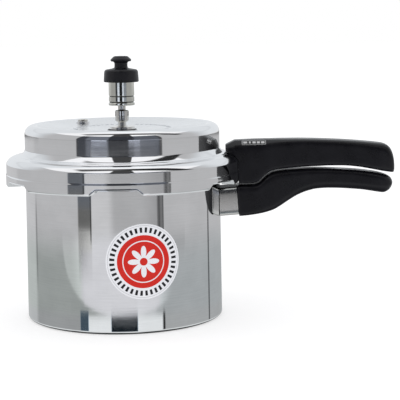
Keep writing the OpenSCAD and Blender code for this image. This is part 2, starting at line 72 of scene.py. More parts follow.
def rounded(pts, n=4):
    """A polyline whose corners (x, z, radius) are rounded; the ends stay."""
    out = []
    for i, p in enumerate(pts):
        rad = p[2] if len(p) > 2 else 0.0
        if i in (0, len(pts) - 1) or rad <= 0:
            out.append((p[0], p[1]))
            continue
        a, b, c = Vector(pts[i - 1][:2]), Vector(p[:2]), Vector(pts[i + 1][:2])
        u, v = (a - b), (c - b)
        lu, lv = u.length, v.length
        u.normalize()
        v.normalize()
        half = 0.5 * math.acos(max(-1.0, min(1.0, u.dot(v))))
        if half > math.radians(89) or half < 1e-3:
            out.append((p[0], p[1]))
            continue
        cut = min(rad / math.tan(half), 0.48 * lu, 0.48 * lv)
        r = cut * math.tan(half)
        mid = (u + v).normalized() * (r / math.sin(half)) + b
        s, e = b + u * cut - mid, b + v * cut - mid
        a0, a1 = math.atan2(s.y, s.x), math.atan2(e.y, e.x)
        while a1 - a0 > math.pi:
            a1 -= 2 * math.pi
        while a1 - a0 < -math.pi:
            a1 += 2 * math.pi
        for k in range(n + 1):
            t = a0 + (a1 - a0) * k / n
            out.append((mid.x + r * math.cos(t), mid.y + r * math.sin(t)))
    return out


def densify(pts, step=4.0, guard=0.3, closed=False):
    """Extra points on long stretches, with a close one beside each corner, so smooth shading stays true."""
    src = list(pts) + ([pts[0]] if closed else [])
    out = []
    for i in range(len(src) - 1):
        a, b = Vector(src[i]), Vector(src[i + 1])
        length = (b - a).length
        if length < 1e-6:
            continue
        out.append((a.x, a.y))
        if length > 4 * guard:
            ts = [guard / length]
            inner = length - 2 * guard
            k = max(1, int(math.ceil(inner / step)))
            ts += [(guard + inner * j / k) / length for j in range(1, k)]
            ts.append(1 - guard / length)
            for t in ts:
                q = a.lerp(b, t)
                out.append((q.x, q.y))
    if not closed:
        out.append((src[-1][0], src[-1][1]))
    return out


def smooth_step(x, a, b):
    t = max(0.0, min(1.0, (x - a) / (b - a)))
    return t * t * (3 - 2 * t)


# ---------------------------------------------------------------- mesh helpers
def finish_mesh(obj, sharp=32.0, recalc=True):
    bm = bmesh.new()
    bm.from_mesh(obj.data)
    bmesh.ops.remove_doubles(bm, verts=bm.verts, dist=2e-7)
    bmesh.ops.dissolve_degenerate(bm, edges=bm.edges, dist=1e-7)
    if recalc:
        bmesh.ops.recalc_face_normals(bm, faces=bm.faces)
    limit = math.radians(sharp)
    for f in bm.faces:
        f.smooth = True
    for e in bm.edges:
        if len(e.link_faces) == 2:
            e.smooth = e.calc_face_angle(0.0) < limit
    bm.to_mesh(obj.data)
    bm.free()
    return obj


def make(name, verts, faces, mats, index=None, sharp=32.0, place=None):
    me = bpy.data.meshes.new(name)
    vs = [Vector(v) * MM for v in verts]
    if place is not None:
        vs = [place @ v for v in vs]
    me.from_pydata(vs, [], faces)
    for m in mats:
        me.materials.append(m)
    if index is not None:
        me.polygons.foreach_set("material_index", index)
    obj = bpy.data.objects.new(name, me)
    scene.collection.objects.link(obj)
    return finish_mesh(obj, sharp)


def ring_mesh(name, cols, closed, mats, pick=None, sharp=32.0, centre=(0.0, 0.0), wrap=True):
    """Columns (angle, [(r, z), ...]) all round an upright axis. An open outline starts and ends on the axis."""
    verts, faces, index, poles = [], [], [], {}
    rows = []
    for ang, prof in cols:
        c, s = math.cos(math.radians(ang)), math.sin(math.radians(ang))
        row = []
        for k, (r, z) in enumerate(prof):
            if r < 1e-4:
                if k not in poles:
                    poles[k] = len(verts)
                    verts.append((centre[0], centre[1], z))
                row.append(poles[k])
            else:
                row.append(len(verts))
                verts.append((centre[0] + r * c, centre[1] + r * s, z))
        rows.append(row)
    n, m = len(rows), len(rows[0])
    for j in range(n if wrap else n - 1):
        a, b = rows[j], rows[(j + 1) % n]
        for i in range(m if closed else m - 1):
            k = (i + 1) % m
            f = [a[i], b[i], b[k], a[k]]
            g = []
            for v in f:
                if v not in g:
                    g.append(v)
            if len(g) < 3:
                continue
            faces.append(g)
            if pick:
                (r0, z0), (r1, z1) = cols[j][1][i], cols[j][1][k]
                index.append(pick(0.5 * (r0 + r1), 0.5 * (z0 + z1), i))
    return make(name, verts, faces, mats, index if pick else None, sharp)


def lathe(name, prof, mats, seg=128, closed=False, pick=None, sharp=32.0, centre=(0.0, 0.0),
          step=4.0, guard=0.3):
    prof = densify(prof, step, guard, closed)
    cols = [(360.0 * j / seg, prof) for j in range(seg)]
    return ring_mesh(name, cols, closed, mats, pick, sharp, centre)


def bake_modifiers(obj, sharp=32.0):
    dg = bpy.context.evaluated_depsgraph_get()
    me = bpy.data.meshes.new_from_object(obj.evaluated_get(dg))
    obj.modifiers.clear()
    obj.data = me
    return finish_mesh(obj, sharp)


def cut(obj, cutters, sharp=32.0):
    for c in cutters:
        m = obj.modifiers.new("cut", "BOOLEAN")
        m.operation = "DIFFERENCE"
        m.solver = "EXACT"
        m.object = c
    bake_modifiers(obj, sharp)
    for c in cutters:
        me = c.data
        bpy.data.objects.remove(c)
        bpy.data.meshes.remove(me)
    return obj


def loft(name, sections, mats, sharp=32.0, caps=True):
    """Skin through sections, each a closed list of (x, y, z) with the same count."""
    n = len(sections[0])
    verts = [p for s in sections for p in s]
    faces = []
    for j in range(len(sections) - 1):
        for i in range(n):
            k = (i + 1) % n
            faces.append([j * n + i, j * n + k, (j + 1) * n + k, (j + 1) * n + i])
    if caps:
        faces.append(list(range(n))[::-1])
        faces.append([(len(sections) - 1) * n + i for i in range(n)])
    return make(name, verts, faces, mats, None, sharp)


# ---------------------------------------------------------------- node helpers
class Net:
    def __init__(self, tree):
        self.t = tree
        self.x = 0

    def node(self, kind, **props):
        n = self.t.nodes.new(kind)
        self.x += 40
        n.location = (self.x, 0)
        for k, v in props.items():
            setattr(n, k, v)
        return n

    def put(self, value, socket):
        if isinstance(value, bpy.types.NodeSocket):
            self.t.links.new(value, socket)
        elif value is not None:
            socket.default_value = value

    def math(self, op, a, b=None, c=None, clamp=False):
        n = self.node("ShaderNodeMath", operation=op, use_clamp=clamp)
        self.put(a, n.inputs[0])
        self.put(b, n.inputs[1])
        self.put(c, n.inputs[2])
        return n.outputs[0]

    def vec(self, op, a, b=None, scale=None):
        n = self.node("ShaderNodeVectorMath", operation=op)
        self.put(a, n.inputs[0])
        self.put(b, n.inputs[1])
        if scale is not None:
            self.put(scale, n.inputs["Scale"])
        return n.outputs["Value"] if op in ("LENGTH", "DOT_PRODUCT", "DISTANCE") else n.outputs[0]

    def xyz(self, v):
        n = self.node("ShaderNodeSeparateXYZ")
        self.put(v, n.inputs[0])
        return n.outputs[0], n.outputs[1], n.outputs[2]

    def join(self, x, y, z):
        n = self.node("ShaderNodeCombineXYZ")
        self.put(x, n.inputs[0])
        self.put(y, n.inputs[1])
        self.put(z, n.inputs[2])
        return n.outputs[0]

    def ramp(self, x, a, b, lo=0.0, hi=1.0, kind="SMOOTHSTEP"):
        """lo before a, hi after b (a < b), smooth between."""
        n = self.node("ShaderNodeMapRange", interpolation_type=kind)
        self.put(x, n.inputs["Value"])
        n.inputs["From Min"].default_value = a
        n.inputs["From Max"].default_value = b
        n.inputs["To Min"].default_value = lo
        n.inputs["To Max"].default_value = hi
        return n.outputs["Result"]

    def band(self, x, lo, hi, soft):
        up = self.ramp(x, lo - soft, lo + soft)
        down = self.ramp(x, hi - soft, hi + soft, 1.0, 0.0)
        return self.math("MULTIPLY", up, down)

    def mix(self, f, a, b):
        n = self.node("ShaderNodeMix", data_type="FLOAT")
        self.put(f, n.inputs[0])
        self.put(a, n.inputs[2])
        self.put(b, n.inputs[3])
        return n.outputs[0]

    def blend(self, f, a, b, mode="MIX"):
        n = self.node("ShaderNodeMix", data_type="RGBA", blend_type=mode)
        self.put(f, n.inputs[0])
        self.put(a, n.inputs[6])
        self.put(b, n.inputs[7])
        return n.outputs[2]

    def noise(self, v, scale=5.0, detail=2.0, rough=0.5, distort=0.0):
        n = self.node("ShaderNodeTexNoise")
        self.put(v, n.inputs["Vector"])
        n.inputs["Scale"].default_value = scale
        n.inputs["Detail"].default_value = detail
        n.inputs["Roughness"].default_value = rough
        n.inputs["Distortion"].default_value = distort
        return n.outputs[0]

    def bump(self, height, distance, normal=None, strength=1.0):
        n = self.node("ShaderNodeBump")
        n.inputs["Strength"].default_value = strength
        n.inputs["Distance"].default_value = distance
        self.put(height, n.inputs["Height"])
        self.put(normal, n.inputs["Normal"])
        return n.outputs[0]

    def sums(self, *terms):
        out = terms[0]
        for t in terms[1:]:
            out = self.math("ADD", out, t)
        return out


def rgb(r, g, b):
    """A colour given as screen values from 0 to 255."""
    return tuple(
        (v / 255 / 12.92) if v <= 10 else ((v / 255 + 0.055) / 1.055) ** 2.4 for v in (r, g, b)
    ) + (1.0,)


def grey(v, tint=(1.0, 1.0, 1.0)):
    return (v * tint[0], v * tint[1], v * tint[2], 1.0)


def new_material(name):
    m = bpy.data.materials.new(name)
    m.use_nodes = True
    m.node_tree.nodes.clear()
    net = Net(m.node_tree)
    out = net.node("ShaderNodeOutputMaterial")
    p = net.node("ShaderNodeBsdfPrincipled")
    m.node_tree.links.new(p.outputs[0], out.inputs[0])
    return m, net, p


def turned_metal(name, colour, rough=0.12, rough_var=0.05, aniso=0.6, fine=2.2e-6, coarse=6e-6,
                 wave=1.2e-4, centre=(0.0, 0.0), long=3.0, pitch=1900.0, tint_var=0.04, wave_scale=16.0,
                 stain=0.0, pits=0.0, middle=0.0, painted_groove_shade=None, painted_base_shade=0.0):
    """Metal polished or turned about an upright axis: fine lines run round it."""
    m, net, p = new_material(name)
    co = net.node("ShaderNodeTexCoord").outputs["Object"]
    rel = net.vec("SUBTRACT", co, (centre[0] * MM, centre[1] * MM, 0.0))
    x, y, z = net.xyz(rel)
    r = net.math("MAXIMUM", net.vec("LENGTH", net.join(x, y, 0.0)), 0.0004)
    ux = net.math("DIVIDE", x, r)
    uy = net.math("DIVIDE", y, r)
    s = net.math("SUBTRACT", r, z)
    lines = net.noise(net.join(net.math("MULTIPLY", ux, long), net.math("MULTIPLY", uy, long),
                               net.math("MULTIPLY", s, pitch)), 1.0, 3.0, 0.6)
    broad = net.noise(net.join(net.math("MULTIPLY", ux, long * 0.7), net.math("MULTIPLY", uy, long * 0.7),
                               net.math("MULTIPLY", s, pitch * 0.22)), 1.0, 2.0, 0.5)
    slow = net.noise(co, wave_scale, 1.0, 0.4)
    cloud = net.noise(co, 42.0, 3.0, 0.55)
    n = net.bump(slow, wave)
    n = net.bump(broad, coarse, n)
    n = net.bump(lines, fine, n)
    if pits:
        spots = net.noise(co, 330.0, 1.0, 0.4)
        n = net.bump(net.ramp(spots, 0.74, 0.80, 1.0, 0.0), pits, n)
    rv = net.sums(net.ramp(cloud, 0.3, 0.75, -0.35 * rough_var, 0.65 * rough_var),
                  net.ramp(broad, 0.3, 0.7, -0.3 * rough_var, 0.3 * rough_var), rough)
    if middle:
        rv = net.sums(rv, net.ramp(r, 0.0765, 0.0795, middle, 0.0))
    tone = net.sums(net.ramp(cloud, 0.3, 0.7, -0.5 * tint_var, 0.5 * tint_var),
                    net.ramp(lines, 0.3, 0.7, -0.35 * tint_var, 0.35 * tint_var), 1.0)
    col = net.vec("SCALE", colour[:3], None, tone)
    if painted_base_shade:
        # painted shade: a dark ring along the bottom edge of the base, standing in for the contact shadow there
        col = net.vec("SCALE", col, None, net.ramp(net.math("ADD", z, net.math("MULTIPLY", cloud, 0.0008)),
                                                   0.75 * painted_base_shade, painted_base_shade, 0.05, 1.0))
    # painted shade: colour darkened to 0.16 wherever the radius is below the given span, so the weight's grooves read
    # as dark lines
    if painted_groove_shade:
        col = net.vec("SCALE", col, None, net.ramp(r, painted_groove_shade[0] * MM, painted_groove_shade[1] * MM, 0.16, 1.0))
    if stain:
        blot = net.noise(co, 23.0, 4.0, 0.6)
        col = net.blend(net.ramp(blot, 0.5, 0.72, 0.0, stain), col,
                        (colour[0] * 0.78, colour[1] * 0.72, colour[2] * 0.62, 1.0))
    net.put(col, p.inputs["Base Color"])
    p.inputs["Metallic"].default_value = 1.0
    net.put(rv, p.inputs["Roughness"])
    p.inputs["Anisotropic"].default_value = aniso
    p.inputs["Anisotropic Rotation"].default_value = 0.25
    tan = net.node("ShaderNodeTangent", direction_type="RADIAL", axis="Z")
    net.put(tan.outputs[0], p.inputs["Tangent"])
    net.put(n, p.inputs["Normal"])
    return m


def sheet_metal(name, colour, rough=0.28, stretch=(60.0, 60.0, 2600.0), depth=3e-6, rough_var=0.1, tint_var=0.08,
                wear=0.0, top=1.0):
    """Sheet or turned metal with straight brush lines along one axis; top: painted shade, the tone of faces that look
    up.
    """
    m, net, p = new_material(name)
    co = net.node("ShaderNodeTexCoord").outputs["Object"]
    lines = net.noise(net.vec("MULTIPLY", co, stretch), 1.0, 4.0, 0.62)
    cloud = net.noise(co, 90.0, 3.0, 0.6)
    n = net.bump(cloud, depth * 4)
    n = net.bump(lines, depth, n)
    tone = net.sums(net.ramp(lines, 0.3, 0.7, -tint_var, tint_var),
                    net.ramp(cloud, 0.3, 0.7, -0.5 * tint_var, 0.5 * tint_var), 1.0)
    col = net.vec("SCALE", colour[:3], None, tone)
    if wear:
        geo = net.node("ShaderNodeNewGeometry")
        edge = net.ramp(geo.outputs["Pointiness"], 0.5, 0.56, 0.0, wear)
        col = net.blend(edge, col, tuple(min(1.0, c * 1.35) for c in colour[:3]) + (1.0,))
    # painted shade: faces that look up are darkened to the tone given by top
    if top < 1.0:
        nz = net.xyz(net.node("ShaderNodeNewGeometry").outputs["Normal"])[2]
        col = net.vec("SCALE", col, None, net.ramp(nz, 0.6, 0.95, 1.0, top))
    net.put(col, p.inputs["Base Color"])
    p.inputs["Metallic"].default_value = 1.0
    net.put(net.sums(net.ramp(lines, 0.25, 0.75, -rough_var, rough_var), rough), p.inputs["Roughness"])
    net.put(n, p.inputs["Normal"])
    return m


def moulded(name, colour, rough=0.34, grain=2.2e-5, grain_scale=900.0, rough_var=0.08, ior=1.5, wave=8e-5,
            dust=0.25, spec=0.5):
    """Moulded black plastic or rubber: faint orange peel, soft wear and dust."""
    m, net, p = new_material(name)
    co = net.node("ShaderNodeTexCoord").outputs["Object"]
    peel = net.noise(co, grain_scale, 3.0, 0.6)
    slow = net.noise(co, 34.0, 2.0, 0.5)
    cloud = net.noise(co, 70.0, 5.0, 0.62)
    rub = net.noise(net.vec("MULTIPLY", co, (160.0, 900.0, 900.0)), 1.0, 4.0, 0.65)
    n = net.bump(slow, wave)
    n = net.bump(peel, grain, n)
    n = net.bump(rub, grain * 0.3, n)
    tone = net.ramp(cloud, 0.32, 0.72, 0.82, 1.0 + dust)
    net.put(net.vec("SCALE", colour[:3], None, tone), p.inputs["Base Color"])
    rv = net.sums(net.ramp(cloud, 0.3, 0.72, -0.5 * rough_var, 0.5 * rough_var),
                  net.ramp(rub, 0.55, 0.75, 0.0, -0.5 * rough_var), rough)
    net.put(rv, p.inputs["Roughness"])
    p.inputs["IOR"].default_value = ior
    # painted shade: specular level turned down on faces that look down, so the undersides show less reflection
    nx, ny, nz = net.xyz(net.node("ShaderNodeNewGeometry").outputs["Normal"])
    net.put(net.ramp(nz, -0.75, -0.1, 0.15 * spec, spec), p.inputs["Specular IOR Level"])
    net.put(n, p.inputs["Normal"])
    return m


# ---------------------------------------------------------------- materials
AL = (0.885, 0.89, 0.9)
M = {}
# the outside carries a painted shade ring at the bottom edge of the base
M["pan_out"] = turned_metal("pan_polished", AL, rough=0.032, rough_var=0.014, aniso=0.4, fine=4.5e-7, coarse=1.0e-6,
                            wave=4e-5, long=3.2, tint_var=0.07, painted_base_shade=0.0027)
M["pan_in"] = turned_metal("pan_inside", (0.8, 0.805, 0.81), rough=0.3, rough_var=0.1, aniso=0.5, fine=3e-6,
                           coarse=9e-6, wave=6e-5, stain=0.25)
M["pan_base"] = turned_metal("pan_base", (0.74, 0.745, 0.75), rough=0.34, rough_var=0.14, aniso=0.6, fine=5e-6,
                             coarse=1.6e-5, wave=1e-4, pitch=1300.0, stain=0.35)
M["lid_out"] = turned_metal("lid_polished", AL, rough=0.05, rough_var=0.02, aniso=0.4, fine=4.5e-7, coarse=1.1e-6,
                            wave=4e-5, long=2.6, pitch=2200.0, pits=2e-6, middle=0.2)
M["lid_in"] = turned_metal("lid_inside", (0.79, 0.795, 0.8), rough=0.3, rough_var=0.1, aniso=0.5, fine=3e-6,
                           coarse=9e-6, wave=6e-5, stain=0.3)
M["nickel"] = turned_metal("nickel_plate", (0.745, 0.74, 0.715), rough=0.1, rough_var=0.05, aniso=0.4, fine=1.5e-6,
                           coarse=3e-6, wave=3e-5, long=1.4, pitch=4200.0, wave_scale=60.0)
M["nickel_weight"] = turned_metal("nickel_weight", (0.74, 0.745, 0.69), rough=0.07, rough_var=0.04, aniso=0.4, fine=1.2e-6,
                                  coarse=2.5e-6, wave=3e-5, long=1.4, pitch=4200.0, wave_scale=60.0,
                                  painted_groove_shade=(WT_R - 0.45, WT_R - 0.12))
M["lid_mark"] = turned_metal("lid_marks", (0.56, 0.575, 0.6), rough=0.3, rough_var=0.08, aniso=0.3, fine=2e-6,
                             coarse=4e-6, wave=2e-5)
M["nickel_base"] = turned_metal("nickel_disc", (0.83, 0.82, 0.8), rough=0.1, rough_var=0.05, aniso=0.4, fine=1.5e-6,
                                coarse=3e-6, wave=3e-5, long=1.4, pitch=4200.0, wave_scale=60.0)
M["brass"] = sheet_metal("nut_brass", (0.72, 0.56, 0.27), rough=0.3, stretch=(900.0, 900.0, 300.0), wear=0.4)
M["plug"] = turned_metal("plug_metal", (0.66, 0.65, 0.62), rough=0.14, rough_var=0.08, aniso=0.3, fine=3e-6,
                         coarse=6e-6, wave=3e-5, centre=PLUG[:2], long=1.2, pitch=3600.0, stain=0.4)
M["alloy"] = sheet_metal("fusible_alloy", (0.5, 0.5, 0.52), rough=0.42, stretch=(500.0, 500.0, 500.0), depth=1.2e-5)
M["steel"] = sheet_metal("bracket_steel", (0.62, 0.62, 0.63), rough=0.32, stretch=(900.0, 60.0, 60.0), wear=0.3)
# painted shade: the sleeve's upward faces are darkened (top) and a grey specular tint dulls its grazing reflections,
# standing in for the dark handle it reflects
M["ferrule"] = sheet_metal("ferrule_steel", (0.66, 0.65, 0.63), rough=0.15, stretch=(5200.0, 90.0, 90.0),
                           depth=8e-7, rough_var=0.04, tint_var=0.05, top=0.12)
principled = next(n for n in M["ferrule"].node_tree.nodes if n.type == "BSDF_PRINCIPLED")
principled.inputs["Specular Tint"].default_value = (0.1, 0.1, 0.1, 1.0)
M["rivet"] = sheet_metal("rivet_aluminium", (0.78, 0.785, 0.79), rough=0.3, stretch=(500.0, 500.0, 500.0),
                         depth=5e-6, wear=0.3)
M["screw"] = sheet_metal("screw_steel", (0.68, 0.68, 0.7), rough=0.26, stretch=(1200.0, 1200.0, 200.0), wear=0.4)
M["needle"] = sheet_metal("needle_steel", (0.74, 0.73, 0.7), rough=0.18, stretch=(300.0, 300.0, 3200.0))
M["clip"] = sheet_metal("clip_steel", (0.6, 0.6, 0.62), rough=0.25, stretch=(800.0, 800.0, 800.0))
M["bakelite"] = moulded("black_bakelite", (0.0046, 0.0044, 0.0062, 1.0), rough=0.30, rough_var=0.08, spec=0.3)
M["knob"] = moulded("knob_bakelite", (0.0085, 0.0082, 0.0104, 1.0), rough=0.34, rough_var=0.08, grain=2.4e-5, spec=0.32)
M["gasket"] = moulded("gasket_rubber", (0.018, 0.018, 0.019, 1.0), rough=0.55, rough_var=0.12, grain=4e-5,
                      grain_scale=1400.0, ior=1.45)
M["seal"] = moulded("seal_rubber", (0.01, 0.01, 0.011, 1.0), rough=0.5, rough_var=0.12, grain=3e-5,
                    grain_scale=1800.0, ior=1.45)


def label_material():
    """Printed film: a white disc with a red disc, plain rings and even marks."""
    m, net, p = new_material("label_film")
    co = net.node("ShaderNodeTexCoord").outputs["Object"]
    x, y, z = net.xyz(co)
    ang = net.math("SUBTRACT", net.math("ARCTAN2", x, net.math("MULTIPLY", y, -1.0)), math.radians(LABEL_A))
    u = net.math("MULTIPLY", ang, 89.6)
    v = net.math("MULTIPLY", net.math("SUBTRACT", z, LABEL_Z * MM), 1000.0)
    rad = net.vec("LENGTH", net.join(u, v, 0.0))
    th = net.math("ARCTAN2", v, u)
    soft = 0.10
    white = rgb(225, 226, 230)
    red = rgb(199, 30, 18)
    black = rgb(28, 28, 32)
    col = net.blend(net.band(rad, -1.0, 23.2, soft), white, red)
    # a plain flower of eight petals in white, cut from the disc by angle and radius
    petal = net.math("ADD", net.math("MULTIPLY", net.math("ABSOLUTE", net.math("COSINE", net.math("MULTIPLY", th, 4.0))), 9.2), 4.6)
    inside = net.math("SUBTRACT", petal, rad)
    flower = net.ramp(inside, -0.12, 0.12)
    col = net.blend(flower, col, white)
    core = net.band(rad, -1.0, 3.4, soft)
    col = net.blend(core, col, red)
    ring = net.band(rad, 17.6, 18.5, soft)
    col = net.blend(ring, col, white)
    # even black bars round the white border
    k = net.math("FRACT", net.math("MULTIPLY", th, 40.0 / (2 * math.pi)))
    bar = net.math("MULTIPLY", net.band(k, 0.2, 0.7, 0.03), net.band(rad, 25.4, 29.9, 0.12))
    col = net.blend(bar, col, black)
    edge = net.band(rad, 31.2, 31.7, 0.1)
    col = net.blend(net.math("MULTIPLY", edge, 0.55), col, rgb(150, 152, 156))
    fibre = net.noise(co, 1500.0, 3.0, 0.6)
    cloud = net.noise(co, 60.0, 3.0, 0.5)
    col = net.vec("MULTIPLY", col, net.join(*([net.ramp(cloud, 0.3, 0.7, 0.965, 1.0)] * 3)))
    net.put(col, p.inputs["Base Color"])
    net.put(net.ramp(cloud, 0.3, 0.7, 0.3, 0.42), p.inputs["Roughness"])
    p.inputs["IOR"].default_value = 1.46
    p.inputs["Specular IOR Level"].default_value = 0.35
    n = net.bump(cloud, 4e-5)
    net.put(net.bump(fibre, 3e-6, n), p.inputs["Normal"])
    return m


M["label"] = label_material()

# ---------------------------------------------------------------- pan
base = arc(PAN_R - 2.9, 2.9, 2.9, -90, 0, 12) + [(PAN_R - 0.01, 6.0), (PAN_TOP_R + 0.008, WALL_TOP - 0.4)]
rim_path = rounded([(PAN_TOP_R + 0.005, WALL_TOP - 0.1), (PAN_TOP_R, WALL_TOP, 0.6), (PAN_TOP_R + 0.4, WALL_TOP + 0.9, 0.8),
                    (92.7, 130.1, 1.0), (93.5, 131.3, 1.0), (93.5, 133.2)], 3)
lug_path = [(PAN_TOP_R + 0.005, WALL_TOP - 0.1), (PAN_TOP_R, WALL_TOP + 0.6), (PAN_TOP_R + 0.05, 127.1), (91.5, 127.12),
            (96.5, 127.12), (100.2, 127.15), (101.1, 127.4), (101.65, 128.0), (LUG_R, 128.7), (LUG_R, 129.6), (101.6, 130.7),
            (101.1, 131.4), (100.3, 131.85), (97.5, 132.1), (95.0, 132.4), (93.6, 132.7), (93.5, 132.95), (93.5, 133.2)]
assert len(rim_path) == len(lug_path), (len(rim_path), len(lug_path))
top = (
    [(93.5, 134.0)]
    + arc(92.6, RIM_Z - 0.9, 0.9, 0, 90, 6)
    + arc(PAN_TOP_R - PAN_WALL + 1.2, RIM_Z - 1.2, 1.2, 90, 180, 6)
    + [(PAN_TOP_R - PAN_WALL, 120), (PAN_R - PAN_WALL - 0.1, 14)]
    + arc(PAN_R - PAN_WALL - 6.1, BASE_T + 6, 6, 0, -90, 12)
    + [(0, BASE_T)]
)
low = densify([(0, 0)] + base, 5.0, 0.25)
high = densify(top, 5.0, 0.25)


def pan_column(f):
    mid = [(a[0] + (b[0] - a[0]) * f, a[1] + (b[1] - a[1]) * f) for a, b in zip(rim_path, lug_path)]
    return low + mid + high


cols = []
half = LUG_W / 2
marks = []
for i in range(6):
    c = i * PITCH
    for d, f in ((-half, 0.0), (-half + 0.04, 0.62), (-half + 0.16, 0.88), (-half + 0.42, 1.0)):
        marks.append((c + d, f))
        marks.append((c - d, f))
    for d in (-8.0, -5.5, -3.0, -1.0, 1.0, 3.0, 5.5, 8.0):
        marks.append((c + d, 1.0))
    for k in range(1, 27):
        marks.append((c + half + (PITCH - LUG_W) * k / 27, 0.0))
marks = sorted((a % 360.0, f) for a, f in marks)
cols = [(a, pan_column(f)) for a, f in marks]


def pan_pick(r, z, i):
    if z > RIM_Z - 0.6:
        return 0
    inner = r < PAN_TOP_R - PAN_WALL + 1.3 and z > BASE_T - 0.2
    if inner:
        return 1
    if z < 0.35 and r < PAN_R - 5:
        return 2
    return 0


pan = ring_mesh("pan_body", cols, False, [M["pan_out"], M["pan_in"], M["pan_base"]], pan_pick, sharp=38.0)
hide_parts("pan")
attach(pan, "pan")

# ---------------------------------------------------------------- sticker on the pan wall
rings = [0.0, 3.0, 6.0, 9.0, 12.0, 15.0, 18.0, 21.0, 24.0, 27.0, 29.5, 31.5, 32.6, LABEL_R]
taper = (PAN_R - PAN_TOP_R) / (WALL_TOP - 6.0)


def wall_point(u, v, lift):
    z = LABEL_Z + v
    r = PAN_R - taper * (z - 6.0) + lift
    a = math.radians(LABEL_A) + u / 89.6
    return (r * math.sin(a), -r * math.cos(a), z)


verts, faces = [], []
seg = 96
layers = []
for side in (0, 1):
    grid = []
    for k, rr in enumerate(rings):
        lift = 0.02 if side else (0.25 if rr < LABEL_R - 0.2 else 0.18)
        if k == 0:
            grid.append([len(verts)])
            verts.append(wall_point(0, 0, lift))
            continue
        row = []
        for j in range(seg):
            t = 2 * math.pi * j / seg
            row.append(len(verts))
            verts.append(wall_point(rr * math.cos(t), rr * math.sin(t), lift))
        grid.append(row)
    layers.append(grid)
for grid in layers:
    for k in range(len(grid) - 1):
        for j in range(seg):
            i = (j + 1) % seg
            if k == 0:
                faces.append([grid[0][0], grid[1][j], grid[1][i]])
            else:
                faces.append([grid[k][j], grid[k + 1][j], grid[k + 1][i], grid[k][i]])
a, b = layers[0][-1], layers[1][-1]
for j in range(seg):
    i = (j + 1) % seg
    faces.append([a[j], b[j], b[i], a[i]])
label = make("pan_sticker", verts, faces, [M["label"]], sharp=50.0)
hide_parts("pan_label")
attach(label, "pan")

# ---------------------------------------------------------------- lid
dish = [(DISH_R * i / 24, DISH_Z + DISH * (i / 24) ** 2) for i in range(1, 25)]
seat_r = 13.2
upper_out = (
    [(0.0, SEAT_Z), (13.7, SEAT_Z), (14.0, SEAT_Z - 0.02), (14.3, SEAT_Z - 0.02)]
    + [p for p in dish if p[0] > 15.5]
    + arc(CREST_R, DRUM_Z - 8, 8, 96, 0, 26)[1:]
    + [(DRUM_R, 155.42), (DRUM_R + 0.01, 155.32)]
    + arc(DRUM_R + 36.58, 173.81, 41.0, 207, 213.6, 7)
    + rounded([(DRUM_R + 2.35, 151.25), (DRUM_R + 2.78, 150.6, 0.25), (94.8, 150.0, 0.25), (95.5, 149.62, 0.3), (98.0, 149.0)], 4)[1:-1]
    + arc(SKIRT_R - 7.828, 140.874, 7.85, 78, 53, 7)
    + arc(SKIRT_R - 7.305, 141.545, 7.0, 51, 42, 3)
    + arc(SKIRT_R - 13.15, 136.53, 14.7, 40, 27.6, 6)
    + [(SKIRT_R - 0.004, 143.06), (SKIRT_R, 142.98), (SKIRT_R, 141.6)]
    + [(SKIRT_R, 140.6), (SKIRT_R, 137.6), (SKIRT_R, 134.2), (SKIRT_R + 0.02, 133.95), (SKIRT_R + 0.38, 133.2), (SKIRT_R + 0.45, 132.95)]
)
upper_out = densify(upper_out, 5.0, 0.25)
upper_in = (
    [(SKIRT_IN, 133.0), (SKIRT_IN, 138.0)]
    + arc(SKIRT_IN - 3.4, 142.2, 3.4, 0, 84, 7)
    + [(96.4, 146.1), (94.4, 147.5)]
    + arc(DRUM_R + 3.5, 155, 3.5 + LID_T, 250, 180, 8)
    + arc(CREST_R, DRUM_Z - 8, 8 - LID_T, 0, 90, 10)
    + [(r, z - LID_T) for r, z in reversed(dish) if 15.5 < r < DISH_R - 0.6]
    + [(12.95, SEAT_Z - 3.13), (12.6, SEAT_Z - 3.15), (0.0, SEAT_Z - 3.15)]
)
upper_in = densify(upper_in, 6.0, 0.3)
R_LOW = SKIRT_R + 0.45

win_line = rounded([(0, WIN_Z), (WIN_TOP, WIN_Z, 1.9), (WIN_BOT, LIP_Z + 0.2, 1.1), (WIN_BOT + 3.5, LIP_Z - 0.05)], 8)


def window_height(w):
    for (w0, z0), (w1, z1) in zip(win_line, win_line[1:]):
        if w0 <= w <= w1:
            return z0 + (z1 - z0) * (w - w0) / max(1e-9, w1 - w0)
    return LIP_Z


def outer_r(z):
    if z >= LIP_Z + 1.3:
        return R_LOW
    return R_LOW - 1.3 + math.sqrt(max(0.0, 1.3 ** 2 - (LIP_Z + 1.3 - z) ** 2))


